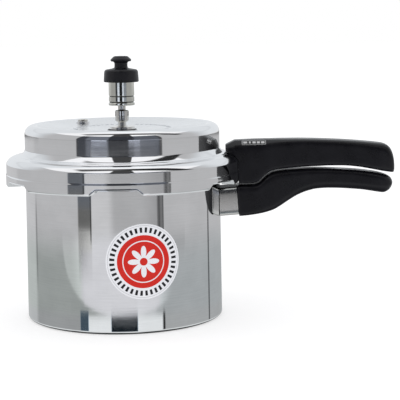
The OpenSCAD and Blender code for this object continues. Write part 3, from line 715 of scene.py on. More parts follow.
def lower_path(zc):
    """From the skirt's outside at z 132.6 round the lower edge to its inside at z 130."""
    out = []
    if zc <= LIP_Z + 0.001:
        out += [(R_LOW, 132.6 + (LIP_Z + 1.3 - 132.6) * t) for t in (0.0, 0.25, 0.45, 0.6, 0.72, 0.82, 0.91, 1.0)]
        out += arc(R_LOW - 1.3, LIP_Z + 1.3, 1.3, 0, -90, 10)[1:]
        out += [(103.0, LIP_Z), (101.0, LIP_Z), (99.0, LIP_Z), (97.0, LIP_Z), (96.0, LIP_Z)]
        out += arc(LIP_R + 1.1, LIP_Z + 1.1, 1.1, -90, -180, 5)
        out += [(LIP_R, 125.0), (LIP_R + 0.04, 125.55), (LIP_R + 0.25, 126.0), (LIP_R + 0.7, 126.2), (98.0, 126.2),
                (101.0, 126.2), (102.3, 126.2)]
        out += arc(SKIRT_IN - 1.2, 127.4, 1.2, -90, 0, 4)
        out += [(SKIRT_IN, 130.0)]
        return out
    rc = 0.55
    lip = zc < 125.6
    zo = zc + rc
    curl = 0.22 * smooth_step(zc, LIP_Z + 0.1, LIP_Z + 1.6)
    for t in (0.0, 0.25, 0.45, 0.6, 0.72, 0.82, 0.91, 1.0):
        zz = 132.6 + (zo - 132.6) * t
        out.append((outer_r(zz) + curl * max(0.0, 1.0 - (zz - zo) / 0.9) ** 2, zz))
    ro = outer_r(zo) + curl
    out += arc(ro - rc, zo, rc, 0, -90, 10)[1:]
    ri = LIP_R if lip else SKIRT_IN
    rin = min(rc, 0.5)
    a0, a1 = ro - rc, ri + rin
    out += [(a0 + (a1 - a0) * k / 6, zc) for k in range(1, 6)]
    out += arc(ri + rin, zc + rin, rin, -90, -180, 5)
    if lip:
        zt = 126.2
        zb = zc + rin
        out += [(LIP_R, zb + (zt - zb) * 0.25), (LIP_R, zb + (zt - zb) * 0.5), (LIP_R + 0.12, zt - 0.12),
                (LIP_R + 0.5, zt), (98.0, zt), (101.0, zt), (102.3, zt)]
        out += arc(SKIRT_IN - 1.2, 127.4, 1.2, -90, 0, 4)
    else:
        zb = zc + rin
        out += [(SKIRT_IN, zb + (129.6 - zb) * k / 12) for k in range(1, 13)]
    out += [(SKIRT_IN, 130.0)]
    return out


angles = []
for i in range(6):
    c = (i + 0.5) * PITCH
    rel = [0.0, 2.0, 4.0, 6.0, 7.6]
    w = 15.2
    while w < 24.4:
        rel.append(math.degrees(math.asin(w / 106.6)))
        w += 0.42
    rel += [14.2, 16.0, 18.2, 20.4, 22.6, 24.8, 27.2]
    for d in rel:
        angles.append((c + d, 106.6 * math.sin(math.radians(d))))
        if d > 0:
            angles.append((c - d, 106.6 * math.sin(math.radians(d))))
    angles.append((c + 30.0, 60.0))
angles = sorted((a % 360.0, w) for a, w in angles)
cols = []
for a, w in angles:
    zc = window_height(w) if w < WIN_BOT + 3.4 else LIP_Z
    cols.append((a, upper_out + lower_path(max(zc, LIP_Z)) + upper_in))


def lid_pick(r, z, i):
    n_out = len(upper_out)
    if i < n_out + 26:
        return 0
    return 1


lid = ring_mesh("lid_body", cols, False, [M["lid_out"], M["lid_in"]], lid_pick, sharp=38.0)


def drum(name, r, z0, z1, n=64, centre=(0.0, 0.0)):
    """A round cutter."""
    vs = [(centre[0] + r * math.cos(2 * math.pi * i / n), centre[1] + r * math.sin(2 * math.pi * i / n), z)
          for z in (z0, z1) for i in range(n)]
    fs = [[i, (i + 1) % n, n + (i + 1) % n, n + i] for i in range(n)] + [list(range(n))[::-1], [n + i for i in range(n)]]
    return make(name, vs, fs, [], None, 30.0)


def bar(name, lo, hi):
    """A square cutter."""
    vs = [(x, y, z) for z in (lo[2], hi[2]) for x, y in ((lo[0], lo[1]), (hi[0], lo[1]), (hi[0], hi[1]), (lo[0], hi[1]))]
    fs = [[3, 2, 1, 0], [4, 5, 6, 7], [0, 1, 5, 4], [1, 2, 6, 5], [2, 3, 7, 6], [3, 0, 4, 7]]
    return make(name, vs, fs, [], None, 30.0)


cut(lid, [drum("c1", 5.05, 150, 190), drum("c2", 3.6, 150, 190, 48, PLUG[:2])], 38.0)
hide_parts("lid")
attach(lid, "lid")

# raised seat under the safety plug
seat = lathe("plug_seat", rounded([(3.6, PLUG[2] - 3.4), (6.9, PLUG[2] - 3.4), (6.6, PLUG[2], 0.45), (3.6, PLUG[2])], 5)
             + [(3.6, PLUG[2] - 1.8)],
             [M["lid_out"]], seg=96, closed=True, centre=PLUG[:2], guard=0.15)
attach(seat, "lid")

# faint ring of plain raised dashes pressed into the dish
verts, faces = [], []
N_DASH = 56
for i in range(N_DASH):
    if i % 14 in (12, 13):
        continue
    a0 = 2 * math.pi * (i + 0.5) / N_DASH
    r0, hl, hw = 43.0, (1.5 if i % 3 else 0.9), 1.9
    outline = []
    for sx, sy, k0 in ((1, 1, 0), (-1, 1, 1), (-1, -1, 2), (1, -1, 3)):
        for k in range(4):
            t = math.radians(90 * k0 + 30 * k)
            outline.append((sx * (hl - 0.45) + 0.45 * math.cos(t), sy * (hw - 0.45) + 0.45 * math.sin(t)))
    base_i = len(verts)
    m = len(outline)
    for grow, lift in ((1.12, -0.12), (1.0, 0.06), (0.86, 0.13)):
        for (t, q) in outline:
            r = r0 + q * grow
            a = a0 + t * grow / r0
            z = DISH_Z + DISH * (r / DISH_R) ** 2 + lift
            verts.append((r * math.cos(a), r * math.sin(a), z))
    for lay in range(2):
        for k in range(m):
            j = (k + 1) % m
            faces.append([base_i + lay * m + k, base_i + lay * m + j, base_i + (lay + 1) * m + j, base_i + (lay + 1) * m + k])
    faces.append([base_i + 2 * m + k for k in range(m)])
    faces.append([base_i + k for k in range(m)][::-1])
dashes = make("lid_dash_ring", verts, faces, [M["lid_mark"]], sharp=60.0)
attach(dashes, "lid")

# ---------------------------------------------------------------- gasket
gasket = lathe(
    "sealing_ring",
    [(87.6, RIM_Z + 0.02), (99.6, RIM_Z + 0.02)]
    + arc(99.4, RIM_Z + 1.6, 1.6, -90, 0, 6)
    + arc(99.4, 143.7, 1.6, 0, 90, 6)
    + [(89.2, 145.3), (88.4, 145.15), (88.0, 144.7), (88.1, 144.1), (88.5, 143.85), (95.4, 142.8)]
    + arc(95.2, 141.1, 1.7, 70, -70, 8)
    + [(88.0, 138.8), (87.4, 138.3), (87.2, 137.6)],
    [M["gasket"]], seg=192, closed=True, guard=0.2)
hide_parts("gasket")
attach(gasket, "gasket")

# ---------------------------------------------------------------- vent
VZ = VENT_Z
vent = lathe(
    "vent_nozzle",
    rounded([(1.6, VZ - 12), (4.6, VZ - 12, 0.1), (5.0, VZ - 11.6, 0.15), (5.0, VZ + 2.0, 0.12), (3.85, VZ + 2.15, 0.2),
             (3.8, VZ + 5.5, 0.5), (4.9, VZ + 5.9, 0.3), (6.4, VZ + 6.9, 0.3), (6.4, VZ + 10.3, 0.15), (6.15, VZ + 10.5, 0.1),
             (6.15, VZ + 10.9, 0.1), (6.4, VZ + 11.1, 0.15), (6.4, VZ + 15.8, 0.3), (5.7, VZ + 16.5, 0.3),
             (3.9, VZ + 16.5, 0.3), (3.5, VZ + 17.1, 0.4), (3.5, VZ + 29.4, 0.3), (2.2, VZ + 31.0, 0.2), (0.9, VZ + 31.0),
             (0.9, VZ + 28.0), (1.6, VZ + 27.4)], 5),
    [M["nickel"]], seg=96, closed=True, guard=0.12, step=2.5)
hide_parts("vent_tube")
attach(vent, "lid")

nut = lathe(
    "vent_disc",
    rounded([(5.16, SEAT_Z + 0.42), (11.3, SEAT_Z + 0.42, 0.2), (11.6, SEAT_Z + 0.7, 0.2), (11.6, SEAT_Z + 2.75, 0.4),
             (11.1, SEAT_Z + 3.32, 0.35), (10.2, SEAT_Z + 3.32, 0.3), (9.6, SEAT_Z + 3.1, 0.4), (6.9, SEAT_Z + 3.0, 0.3),
             (6.5, SEAT_Z + 3.2, 0.15), (5.16, SEAT_Z + 3.2)], 5),
    [M["nickel_base"]], seg=128, closed=True, guard=0.12, step=2.0)
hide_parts("vent_base_nut")
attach(nut, "lid")

seal = lathe(
    "vent_ring",
    rounded([(5.16, SEAT_Z + 0.03), (13.2, SEAT_Z + 0.03, 0.06), (13.4, SEAT_Z + 0.2, 0.1), (13.2, SEAT_Z + 0.39, 0.1),
             (5.16, SEAT_Z + 0.39)], 4),
    [M["seal"]], seg=96, closed=True, guard=0.1, step=1.0)
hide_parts("vent_upper_seal")
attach(seal, "lid")

# ---------------------------------------------------------------- safety plug
PX, PY, PZ = PLUG
plug = lathe(
    "safety_plug",
    rounded([(1.76, PZ - 12.7), (3.3, PZ - 12.7, 0.1), (3.42, PZ - 12.4, 0.1), (3.42, PZ + 0.0, 0.05), (4.8, PZ + 0.02, 0.1),
             (4.9, PZ + 0.25, 0.15), (4.9, PZ + 1.05, 0.25), (4.4, PZ + 1.8, 0.3), (4.1, PZ + 1.9, 0.2), (3.15, PZ + 1.9, 0.2),
             (1.95, PZ + 0.8, 0.2), (1.76, PZ + 0.6, 0.1)], 5),
    [M["plug"]], seg=72, closed=True, centre=(PX, PY), guard=0.1, step=1.5)
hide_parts("safety_plug_body")
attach(plug, "lid")
core = lathe(
    "safety_plug_alloy",
    rounded([(0, PZ - 10.7), (1.55, PZ - 10.7, 0.3), (1.65, PZ + 0.7, 0.1), (2.35, PZ + 1.25, 0.2), (2.0, PZ + 1.4, 0.3),
             (0.9, PZ + 1.2, 0.5), (0, PZ + 1.15)], 5),
    [M["alloy"]], seg=48, centre=(PX, PY), guard=0.1, step=1.5)
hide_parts("safety_plug_core")
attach(core, "lid")

# ---------------------------------------------------------------- regulator weight
ch = VZ + 33.45
wb = lathe(
    "weight_metal",
    rounded([
        (0.0, WT_Z + 22.0), (0.0, ch + 12.6), (2.45, ch + 12.6), (2.45, ch), (4.6, ch, 0.1), (4.6, WT_Z + 2.5, 0.05), (5.6, WT_Z + 2.5),
        (5.6, WT_Z + 1.4), (4.6, WT_Z + 1.4, 0.1), (4.6, WT_Z + 0.3, 0.1), (4.9, WT_Z, 0.1), (WT_R - 0.35, WT_Z, 0.3), (WT_R + 0.25, WT_Z + 0.7, 0.5),
        (WT_R + 0.25, WT_Z + 2.2, 0.4), (WT_R - 0.1, WT_Z + 2.7, 0.2), (WT_R - 0.8, WT_Z + 2.95, 0.15),
        (WT_R - 0.8, WT_Z + 3.55, 0.12), (WT_R, WT_Z + 3.8, 0.12), (WT_R, WT_Z + 8.0, 0.12), (WT_R - 0.7, WT_Z + 8.15, 0.1),
        (WT_R - 0.7, WT_Z + 8.85, 0.1), (WT_R, WT_Z + 9.0, 0.12), (WT_R, 215.0, 0.2), (4.0, 215.0), (4.0, 224.0), (0.0, 224.0),
    ], 4)[1:],
    [M["nickel_weight"]], seg=160, guard=0.12, step=2.5)
cut(wb, [], 38.0)
port = []
for k, a in enumerate((60.0, 120.0)):
    c = drum("port", 1.1, 0, 20, 32)
    c.data.transform(Matrix.Translation((0, 0, (WT_Z + 11) * MM)) @ Matrix.Rotation(math.radians(a), 4, "Z")
                     @ Matrix.Rotation(math.radians(90), 4, "Y"))
    port.append(c)
cut(wb, port, 38.0)
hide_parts("weight_body")
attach(wb, "weight")

cap = lathe(
    "weight_knob",
    rounded([
        (4.06, 215.05), (CAP_R - 0.6, 215.05, 0.4), (CAP_R, 215.7, 0.5), (CAP_R - 0.5, 223.5), (CAP_R - 0.55, 224.1)], 4)
    + arc(CAP_R - 3.35, 223.8, 2.8, 6, 78, 9)
    + rounded([(13.0, 226.6), (8.4, 227.35, 1.2), (6.25, 228.1, 1.0), (6.0, 229.6, 0.8), (6.0, 232.4, 0.7), (7.3, 233.7, 0.5),
               (BTN_R - 0.5, 233.7, 0.4), (BTN_R, 234.4, 0.4), (BTN_R - 0.1, 235.6, 0.6), (6.7, 238.1, 0.9), (5.6, 238.55, 1.2),
               (0.0, 238.8)], 6)[1:-1]
    + [(0.0, 238.8), (0.0, 224.15), (4.06, 224.15)],
    [M["knob"]], seg=160, closed=False, guard=0.15, step=2.5)
cut(cap, [], 35.0)
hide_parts("weight_cap")
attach(cap, "weight")

# ---------------------------------------------------------------- ferrule
LEAN = math.radians(4.0)
FER = Matrix.Translation((88 * MM, 0, 104.8 * MM)) @ Matrix.Rotation(-LEAN, 4, "Y")


def rect_outline(w, h, r, n=7, k=6):
    """Rounded rectangle outline in (y, z), k extra points along each straight."""
    pts = []
    cs = ((w / 2 - r, h / 2 - r, 0), (-w / 2 + r, h / 2 - r, 90), (-w / 2 + r, -h / 2 + r, 180), (w / 2 - r, -h / 2 + r, 270))
    for i, (cy, cz, a0) in enumerate(cs):
        pts += arc(cy, cz, r, a0, a0 + 90, n)
        ny, nz, b0 = cs[(i + 1) % 4]
        s = Vector(pts[-1])
        e = Vector((ny + r * math.cos(math.radians(b0)), nz + r * math.sin(math.radians(b0))))
        for j in range(1, k):
            q = s.lerp(e, j / k)
            pts.append((q.x, q.y))
    return pts


def wall_x(y, z, gap=0.45):
    """Local x where a line along the ferrule meets the pan wall."""
    x = 0.0
    for _ in range(8):
        gz = 104.8 + x * math.sin(LEAN) + z * math.cos(LEAN)
        r = PAN_R - taper * (gz - 6.0) + gap
        gx = math.sqrt(max(0.0, r * r - y * y))
        x = (gx - 88 + z * math.sin(LEAN)) / math.cos(LEAN)
    return x


outer = rect_outline(30.0, 25.4, 2.1)
inner = rect_outline(28.0, 23.4, 1.2)
L = 17.2


def crowned(y, z):
    """The sleeve's upright sides bulge a little."""
    if abs(y) > 12.0:
        return (math.copysign(abs(y) - 0.16 * (z / 12.7) ** 2, y), z)
    return (y, z)


outer = [crowned(y, z) for y, z in outer]
secs = []
for t in (0.0, 0.02, 0.2, 0.4, 0.6, 0.8, 0.96):
    secs.append([(wall_x(y, z) + (L - 0.35 - wall_x(y, z)) * t, y, z) for y, z in outer])
for a in (30, 60, 90):
    k = 0.35 * (1 - math.cos(math.radians(a)))
    secs.append([(L - 0.35 + 0.35 * math.sin(math.radians(a)), y * (1 - k / 15), z * (1 - k / 12.7)) for y, z in outer])
secs.append([(L, y, z) for y, z in inner])
for t in (0.9, 0.5, 0.1, 0.0):
    secs.append([(wall_x(y, z) + (L - wall_x(y, z)) * t, y, z) for y, z in inner])
n = len(outer)
verts = [p for s in secs for p in s]
faces = []
for j in range(len(secs)):
    q = (j + 1) % len(secs)
    for i in range(n):
        k = (i + 1) % n
        faces.append([j * n + i, j * n + k, q * n + k, q * n + i])
ferrule = make("handle_sleeve", verts, faces, [M["ferrule"]], None, 40.0, FER)
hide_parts("handle_ferrule")
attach(ferrule, "pan")

# ---------------------------------------------------------------- handles
LEANK = 0.07
LID_HANDLE = [
    [94.6, 156.7, 151.2, 9.6, 4.2, 3.0, 0.2, 1.0, 0],
    [96.4, 157.7, 149.4, 11.8, 5.6, 4.2, 0.1, 1.0, 0],
    [102.8, 160.8, 140.0, 14.0, 7.4, 5.4, 0.1, 1.2, 0],
    [103.4, 160.9, 121.9, 14.1, 7.5, 5.5, 0.1, 1.2, 0],
    [112.0, 161.2, 121.9, 14.3, 7.5, 5.5, 0.1, 1.4, 0],
    [120.0, 161.4, 122.2, 14.4, 7.5, 5.5, 0.15, 1.6, 0],
    [123.5, 161.5, 123.2, 14.4, 7.4, 5.4, 0.15, 1.8, 0],
    [127.5, 161.5, 126.8, 14.3, 7.3, 5.3, 0.2, 2.0, 0],
    [132.0, 161.6, 130.7, 14.2, 7.2, 5.1, 0.3, 2.2, 0],
    [136.0, 161.6, 132.9, 14.0, 7.0, 4.9, 0.4, 2.4, 0],
    [142.0, 161.7, 134.2, 13.7, 6.8, 4.6, 0.6, 2.6, 0],
    [152.0, 161.7, 135.2, 13.3, 6.4, 4.2, 0.8, 2.8, 0],
    [164.0, 161.6, 136.0, 13.0, 6.0, 4.0, 1, 3.0, 0],
    [178.0, 161.2, 136.6, 12.8, 5.8, 4.0, 1, 3.0, 0],
    [190.0, 160.7, 137.0, 12.7, 5.8, 4.0, 1, 3.0, 0],
    [202.0, 160.0, 136.9, 12.8, 5.8, 4.2, 1, 3.0, 0],
    [214.0, 159.1, 135.9, 13.1, 6.0, 4.6, 1, 3.0, 0],
    [226.0, 158.0, 133.9, 13.5, 6.4, 5.0, 1, 3.0, 0],
    [234.0, 157.1, 132.3, 13.6, 6.8, 5.4, 1, 3.2, 0],
    [239.0, 156.3, 131.3, 13.3, 7.0, 5.8, 1, 3.4, 0],
    [242.5, 154.9, 130.7, 12.6, 7.2, 6.2, 1, 3.6, 0],
    [245.3, 152.3, 130.2, 11.5, 7.2, 6.4, 1, 3.6, 0],
    [247.4, 148.4, 129.9, 9.9, 6.6, 6.2, 1, 3.4, 0],
    [248.7, 143.6, 130.2, 7.9, 5.6, 5.2, 1, 3.0, 0],
    [249.3, 138.6, 131.6, 5.6, 4.2, 2.6, 1, 2.2, 0]]
PAN_HANDLE = [
    [94.3, 116.8, 93.7, 13.8, 1.1, 1.1, 1, 1.1, LEANK],
    [105.3, 117.5, 94.45, 13.8, 1.1, 1.1, 1, 1.1, LEANK],
    [105.6, 119.4, 92.0, 15.0, 5.0, 3.2, 1, 1.5, LEANK],
    [106.7, 120.2, 91.9, 15.4, 7.0, 3.8, 1, 2.2, LEANK],
    [112.0, 120.4, 92.2, 15.5, 7.5, 4.0, 1, 2.6, 0.05],
    [120.0, 120.5, 93.0, 15.4, 7.5, 4.1, 1, 3.0, 0.02],
    [124.5, 122.0, 93.6, 15.2, 7.5, 4.3, 1, 3.4, 0],
    [128.5, 125.4, 94.3, 15.0, 7.5, 4.4, 1, 3.8, 0],
    [133.0, 129.2, 95.4, 14.8, 7.5, 4.3, 1, 4.2, 0],
    [138.0, 131.6, 97.0, 14.6, 7.5, 4.4, 1, 4.6, 0],
    [145.0, 132.9, 100.9, 14.2, 7.5, 4.4, 1, 5.0, 0],
    [152.0, 133.5, 105.4, 13.7, 7.2, 4.4, 1, 5.4, 0],
    [160.0, 133.9, 110.0, 13.2, 6.8, 4.3, 1, 5.8, 0],
    [169.0, 134.3, 113.5, 12.7, 6.2, 4.2, 1, 6.0, 0],
    [178.0, 134.4, 115.5, 12.4, 5.6, 4.1, 1, 6.0, 0],
    [188.0, 134.1, 116.0, 12.2, 5.0, 3.9, 1, 6.0, 0],
    [198.0, 133.5, 115.8, 12.3, 4.6, 3.8, 1, 6.0, 0],
    [208.0, 132.9, 115.2, 12.6, 4.6, 3.8, 1, 6.0, 0],
    [218.0, 132.0, 114.4, 13.0, 4.8, 4.0, 1, 6.2, 0],
    [227.0, 130.8, 113.1, 13.3, 5.0, 4.2, 1, 6.4, 0],
    [234.0, 129.6, 111.9, 13.3, 5.2, 4.6, 1, 6.6, 0],
    [239.0, 128.4, 111.3, 12.7, 5.6, 5.0, 1, 6.6, 0],
    [242.5, 127.2, 112.4, 11.5, 5.8, 5.4, 1, 6.2, 0],
    [245.3, 125.6, 114.6, 9.6, 5.6, 5.2, 1, 5.2, 0],
    [247.0, 123.6, 117.4, 7.0, 4.4, 3.2, 1, 2.8, 0],
    [247.7, 121.9, 119.3, 4.4, 3.0, 1.4, 1, 1.1, 0]]


def slopes(xs, ys):
    """Slopes of a smooth curve that never overshoots its points."""
    n = len(xs)
    d = [(ys[i + 1] - ys[i]) / (xs[i + 1] - xs[i]) for i in range(n - 1)]
    out = [d[0]]
    for i in range(1, n - 1):
        if d[i - 1] * d[i] <= 0:
            out.append(0.0)
        else:
            h0, h1 = xs[i] - xs[i - 1], xs[i + 1] - xs[i]
            w0, w1 = 2 * h1 + h0, h1 + 2 * h0
            out.append((w0 + w1) / (w0 / d[i - 1] + w1 / d[i]))
    out.append(d[-1])
    return out


def stations(table, first, steps):
    """The table's rows with smooth ones between them, from the row 'first' on; steps(x) gives the spacing."""
    rows = [list(map(float, r)) for r in table[:first]]
    tail = [list(map(float, r)) for r in table[first:]]
    xs = [r[0] for r in tail]
    curves = []
    for c in range(1, 9):
        ys = [r[c] for r in tail]
        curves.append((ys, slopes(xs, ys)))
    for i in range(len(xs) - 1):
        h = xs[i + 1] - xs[i]
        k = max(1, int(round(h / steps(0.5 * (xs[i] + xs[i + 1])))))
        for j in range(k):
            t = j / k
            row = [xs[i] + h * t]
            for ys, ms in curves:
                a = (1 + 2 * t) * (1 - t) ** 2 * ys[i] + t * (1 - t) ** 2 * h * ms[i]
                b = t * t * (3 - 2 * t) * ys[i + 1] + t * t * (t - 1) * h * ms[i + 1]
                row.append(a + b)
            rows.append(row)
    rows.append(tail[-1])
    return rows


def section(s, soften=2):
    x, zt, zb, hw, bw, bh, q, rb, lean = s
    halfs = []
    nt, nb, ns, nl = 5, 8, 9, 8
    for k in range(nt):
        halfs.append(((hw - bw) * k / nt, zt))
    for k in range(nb + 1):
        t = k / nb
        c, sn = math.cos(math.radians(90 * t)), math.sin(math.radians(90 * t))
        halfs.append((hw - bw + bw * ((1 - q) * t + q * sn), zt - bh + bh * ((1 - q) * (1 - t) + q * c)))
    z0, z1 = zt - bh, zb + rb
    for k in range(1, ns):
        halfs.append((hw, z0 + (z1 - z0) * k / ns))
    for k in range(nl + 1):
        a = math.radians(90 * k / nl)
        halfs.append((hw - rb + rb * math.cos(a), zb + rb - rb * math.sin(a)))
    for k in range(1, nt + 1):
        halfs.append(((hw - rb) * (1 - k / nt), zb))
    pts = halfs + [(-y, z) for y, z in reversed(halfs[1:-1])]
    n = len(pts)
    for _ in range(soften):
        pts = [((pts[i - 1][0] + 2 * pts[i][0] + pts[(i + 1) % n][0]) / 4,
                (pts[i - 1][1] + 2 * pts[i][1] + pts[(i + 1) % n][1]) / 4) for i in range(n)]
    return [(x - lean * (z - 105), y, z) for y, z in pts]


PL = Matrix.Translation((120.3 * MM, -10.75 * MM, 158.85 * MM)) @ Matrix.Rotation(math.radians(36.6), 4, "X")
rows = stations(LID_HANDLE, 3, lambda x: 1.6 if x < 150 else (2.6 if x < 236 else 0.7))
upper = loft("upper_handle", [section(r) for r in rows], [M["bakelite"]], sharp=34.0)
env_line = (
    [(60.0, 115.0), (R_LOW + 0.12, 115.0), (R_LOW + 0.12, 132.7), (SKIRT_R + 0.2, 133.6), (SKIRT_R + 0.2, 143.1)]
    + arc(SKIRT_R - 13.15, 136.53, 14.9, 28, 40, 5)
    + arc(SKIRT_R - 7.305, 141.545, 7.2, 42, 52, 3)
    + arc(SKIRT_R - 7.828, 140.874, 8.05, 53, 78, 6)
    + [(95.6, 149.85), (94.8, 150.25), (92.5, 150.8), (DRUM_R + 2.9, 151.1), (DRUM_R + 0.3, 155.4)]
    + [(DRUM_R + 0.2, 165.0), (60.0, 165.0)]
)
env = lathe("c_env", env_line, [], seg=240, closed=True, guard=5.0, step=50.0)
mouth = drum("c_mouth", 5.1, 118, 134.6, 48, (131.0, 0.0))
hole = drum("c_hole", 2.3, 125, 151.5, 32, (131.0, 0.0))
nutp = drum("c_nut", 4.8, 145.4, 149.7, 6, (131.0, 0.0))
slotp = bar("c_slot", (104.0, -8.7, 140.2), (144.4, 8.7, 143.2))
plate = lathe("c_plate", [(100.0, 127.2), (111.2, 127.2), (111.2, 143.4), (100.0, 143.4)], [], seg=240, closed=True, guard=5.0, step=50.0)
keep = bar("c_keep", (100.0, -11.3, 127.0), (114.0, 11.3, 143.6))
m = plate.modifiers.new("i", "BOOLEAN")
m.operation, m.solver, m.object = "INTERSECT", "EXACT", keep
bake_modifiers(plate)
bpy.data.objects.remove(keep)
seat_cut = loft("c_seat", [[(x, y, h) for x, y in rect_outline(22.3, 6.5, 1.15, 5, 5)] for h in (-0.26, 4.0)], [], 34.0)
seat_cut.data.transform(PL)
cut(upper, [env, plate, mouth, hole, nutp, slotp, seat_cut], 34.0)
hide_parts("lid_handle")
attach(upper, "lid")

rows = stations(PAN_HANDLE, 2, lambda x: 1.2 if x < 140 else (2.6 if x < 234 else 0.7))
lower = loft("lower_handle", [section(r) for r in rows], [M["bakelite"]], sharp=34.0)
cut(lower, [bar("c_slot", (90.0, -9.2, 103.4), (132.4, 9.2, 106.8)), drum("c_hole", 2.2, 90, 114, 32, (120.0, 0.0)),
            drum("c_mouth", 5.6, 86, 98.4, 48, (120.0, 0.0)), drum("c_nut", 5.3, 108.2, 112.6, 6, (120.0, 0.0))], 34.0)
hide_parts("pan_handle")
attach(lower, "pan")


# ---------------------------------------------------------------- small plate on the upper handle's near bevel
def badge_material():
    m, net, p = new_material("badge_aluminium")
    co = net.node("ShaderNodeTexCoord").outputs["Object"]
    x, y, z = net.xyz(co)
    u = net.math("MULTIPLY", net.math("SUBTRACT", x, 0.1203), 1000.0)
    d = net.math("ADD", net.math("MULTIPLY", net.math("ADD", y, 0.01075), math.cos(math.radians(36.6)) * 1000.0),
                 net.math("MULTIPLY", net.math("SUBTRACT", z, 0.15885), math.sin(math.radians(36.6)) * 1000.0))
    field = net.math("MULTIPLY", net.band(u, -10.5, 10.5, 0.08), net.band(d, -2.6, 2.6, 0.08))
    mark = net.math("MULTIPLY", net.band(u, -9.6, -6.2, 0.1), net.band(d, -1.3, 1.3, 0.1))
    for lo, hi in ((-4.4, -3.0), (-1.2, 1.6), (2.8, 5.4), (6.6, 9.6)):
        mark = net.math("MAXIMUM", mark, net.math("MULTIPLY", net.band(u, lo, hi, 0.1), net.band(d, -1.3, 1.3, 0.1)))
    metal = net.math("SUBTRACT", 1.0, field)
    lines = net.noise(net.vec("MULTIPLY", co, (120.0, 3000.0, 3000.0)), 1.0, 3.0, 0.6)
    col = net.blend(net.ramp(lines, 0.3, 0.7), grey(0.42), grey(0.56))
    ink = net.blend(mark, grey(0.012), net.blend(net.ramp(lines, 0.3, 0.7), grey(0.34), grey(0.5)))
    col = net.blend(field, col, ink)
    net.put(col, p.inputs["Base Color"])
    net.put(net.math("MULTIPLY", metal, 0.9), p.inputs["Metallic"])
    net.put(net.ramp(lines, 0.3, 0.7, 0.26, 0.38), p.inputs["Roughness"])
    net.put(net.bump(lines, 3e-6), p.inputs["Normal"])
    return m


M["badge"] = badge_material()
out = rect_outline(22.0, 6.2, 1.0, 5, 5)
verts = []
for sc, h in ((1.0, -0.2), (1.0, 0.24), (0.992, 0.34), (0.975, 0.4)):
    dy = (1 - sc) * 11.0
    verts += [(x - math.copysign(dy, x) if abs(x) > 10 else x, y - math.copysign(dy, y) if abs(y) > 2 else y, h) for x, y in out]
n = len(out)
faces = []
for j in range(3):
    for i in range(n):
        k = (i + 1) % n
        faces.append([j * n + i, j * n + k, (j + 1) * n + k, (j + 1) * n + i])
faces.append([3 * n + i for i in range(n)])
faces.append(list(range(n))[::-1])
badge = make("handle_plate", verts, faces, [M["badge"]], None, 40.0, PL)
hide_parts("lid_handle_badge")
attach(badge, "lid")

# ---------------------------------------------------------------- CAD pieces that stay: finishes and soft edges
KEEP = {
    "pan_bracket": "steel", "pan_bracket_rivets": "rivet", "pan_handle_bolt": "screw", "pan_handle_nut": "brass",
    "vent_lower_seal": "seal", "vent_lock_nut": "brass", "safety_plug_seal": "seal", "safety_plug_nut": "brass",
    "lid_bracket": "steel", "lid_bracket_rivets": "rivet", "lid_handle_screw": "screw", "lid_handle_nut": "brass",
    "weight_needle": "needle", "weight_clip_ring": "clip",
}
for name, mat in KEEP.items():
    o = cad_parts[name]
    o.data.materials.clear()
    o.data.materials.append(M[mat])
    w = o.modifiers.new("weld", "WELD")
    w.merge_threshold = 1e-6
    b = o.modifiers.new("edge", "BEVEL")
    b.width = 0.18 * MM
    b.segments = 2
    b.limit_method = "ANGLE"
    b.angle_limit = math.radians(35)
    b.harden_normals = True

# ---------------------------------------------------------------- floor
fm, net, p = new_material("floor_pale")
co = net.node("ShaderNodeTexCoord").outputs["Object"]
soft = net.noise(co, 3.0, 2.0, 0.5)
net.put(net.vec("SCALE", (0.47, 0.47, 0.47), None, net.ramp(soft, 0.3, 0.7, 0.995, 1.0)), p.inputs["Base Color"])
p.inputs["Roughness"].default_value = 0.9
p.inputs["Specular IOR Level"].default_value = 0.0
p.inputs["Emission Color"].default_value = (1.0, 1.0, 1.0, 1.0)
p.inputs["Emission Strength"].default_value = 0.55
# seen from above only, so that the underside can be looked at
one_side = net.node("ShaderNodeMixShader")
clear = net.node("ShaderNodeBsdfTransparent")
net.put(net.node("ShaderNodeNewGeometry").outputs["Backfacing"], one_side.inputs[0])
net.put(p.outputs[0], one_side.inputs[1])
net.put(clear.outputs[0], one_side.inputs[2])
net.put(one_side.outputs[0], [q for q in fm.node_tree.nodes if q.type == "OUTPUT_MATERIAL"][0].inputs[0])
me = bpy.data.meshes.new("floor")
me.from_pydata([(-8, -4, -0.0002), (8, -4, -0.0002), (8, 14, -0.0002), (-8, 14, -0.0002)], [], [[0, 1, 2, 3]])
me.materials.append(fm)
floor = bpy.data.objects.new("floor", me)
scene.collection.objects.link(floor)
floor.visible_glossy = False

# ---------------------------------------------------------------- studio surroundings
world = bpy.data.worlds.new("studio")
scene.world = world
world.use_nodes = True
world.cycles.sampling_method = "NONE"
wt = world.node_tree
wt.nodes.clear()
w = Net(wt)
out = w.node("ShaderNodeOutputWorld")
bg = w.node("ShaderNodeBackground")
wt.links.new(bg.outputs[0], out.inputs[0])
d = w.node("ShaderNodeTexCoord").outputs["Generated"]
dx, dy, dz = w.xyz(d)
az = w.math("MULTIPLY", w.math("ARCTAN2", dx, w.math("MULTIPLY", dy, -1.0)), 57.29578)
azb = w.math("MULTIPLY", w.math("ARCTAN2", dx, dy), 57.29578)
el = w.math("MULTIPLY", w.math("ARCSINE", dz), 57.29578)


def both(az_band, el_band):
    return w.math("MULTIPLY", az_band, el_band)


# walls of the room, a little darker and greener below
wall = w.mix(w.ramp(el, -10.0, -8.0), w.ramp(az, -30.0, 60.0, 0.34, 0.41), 0.50)
left_far = w.ramp(az, -128.0, -118.0, 1.0, 0.0)
e = w.mix(w.math("MULTIPLY", left_far, 0.6), wall, 0.62)
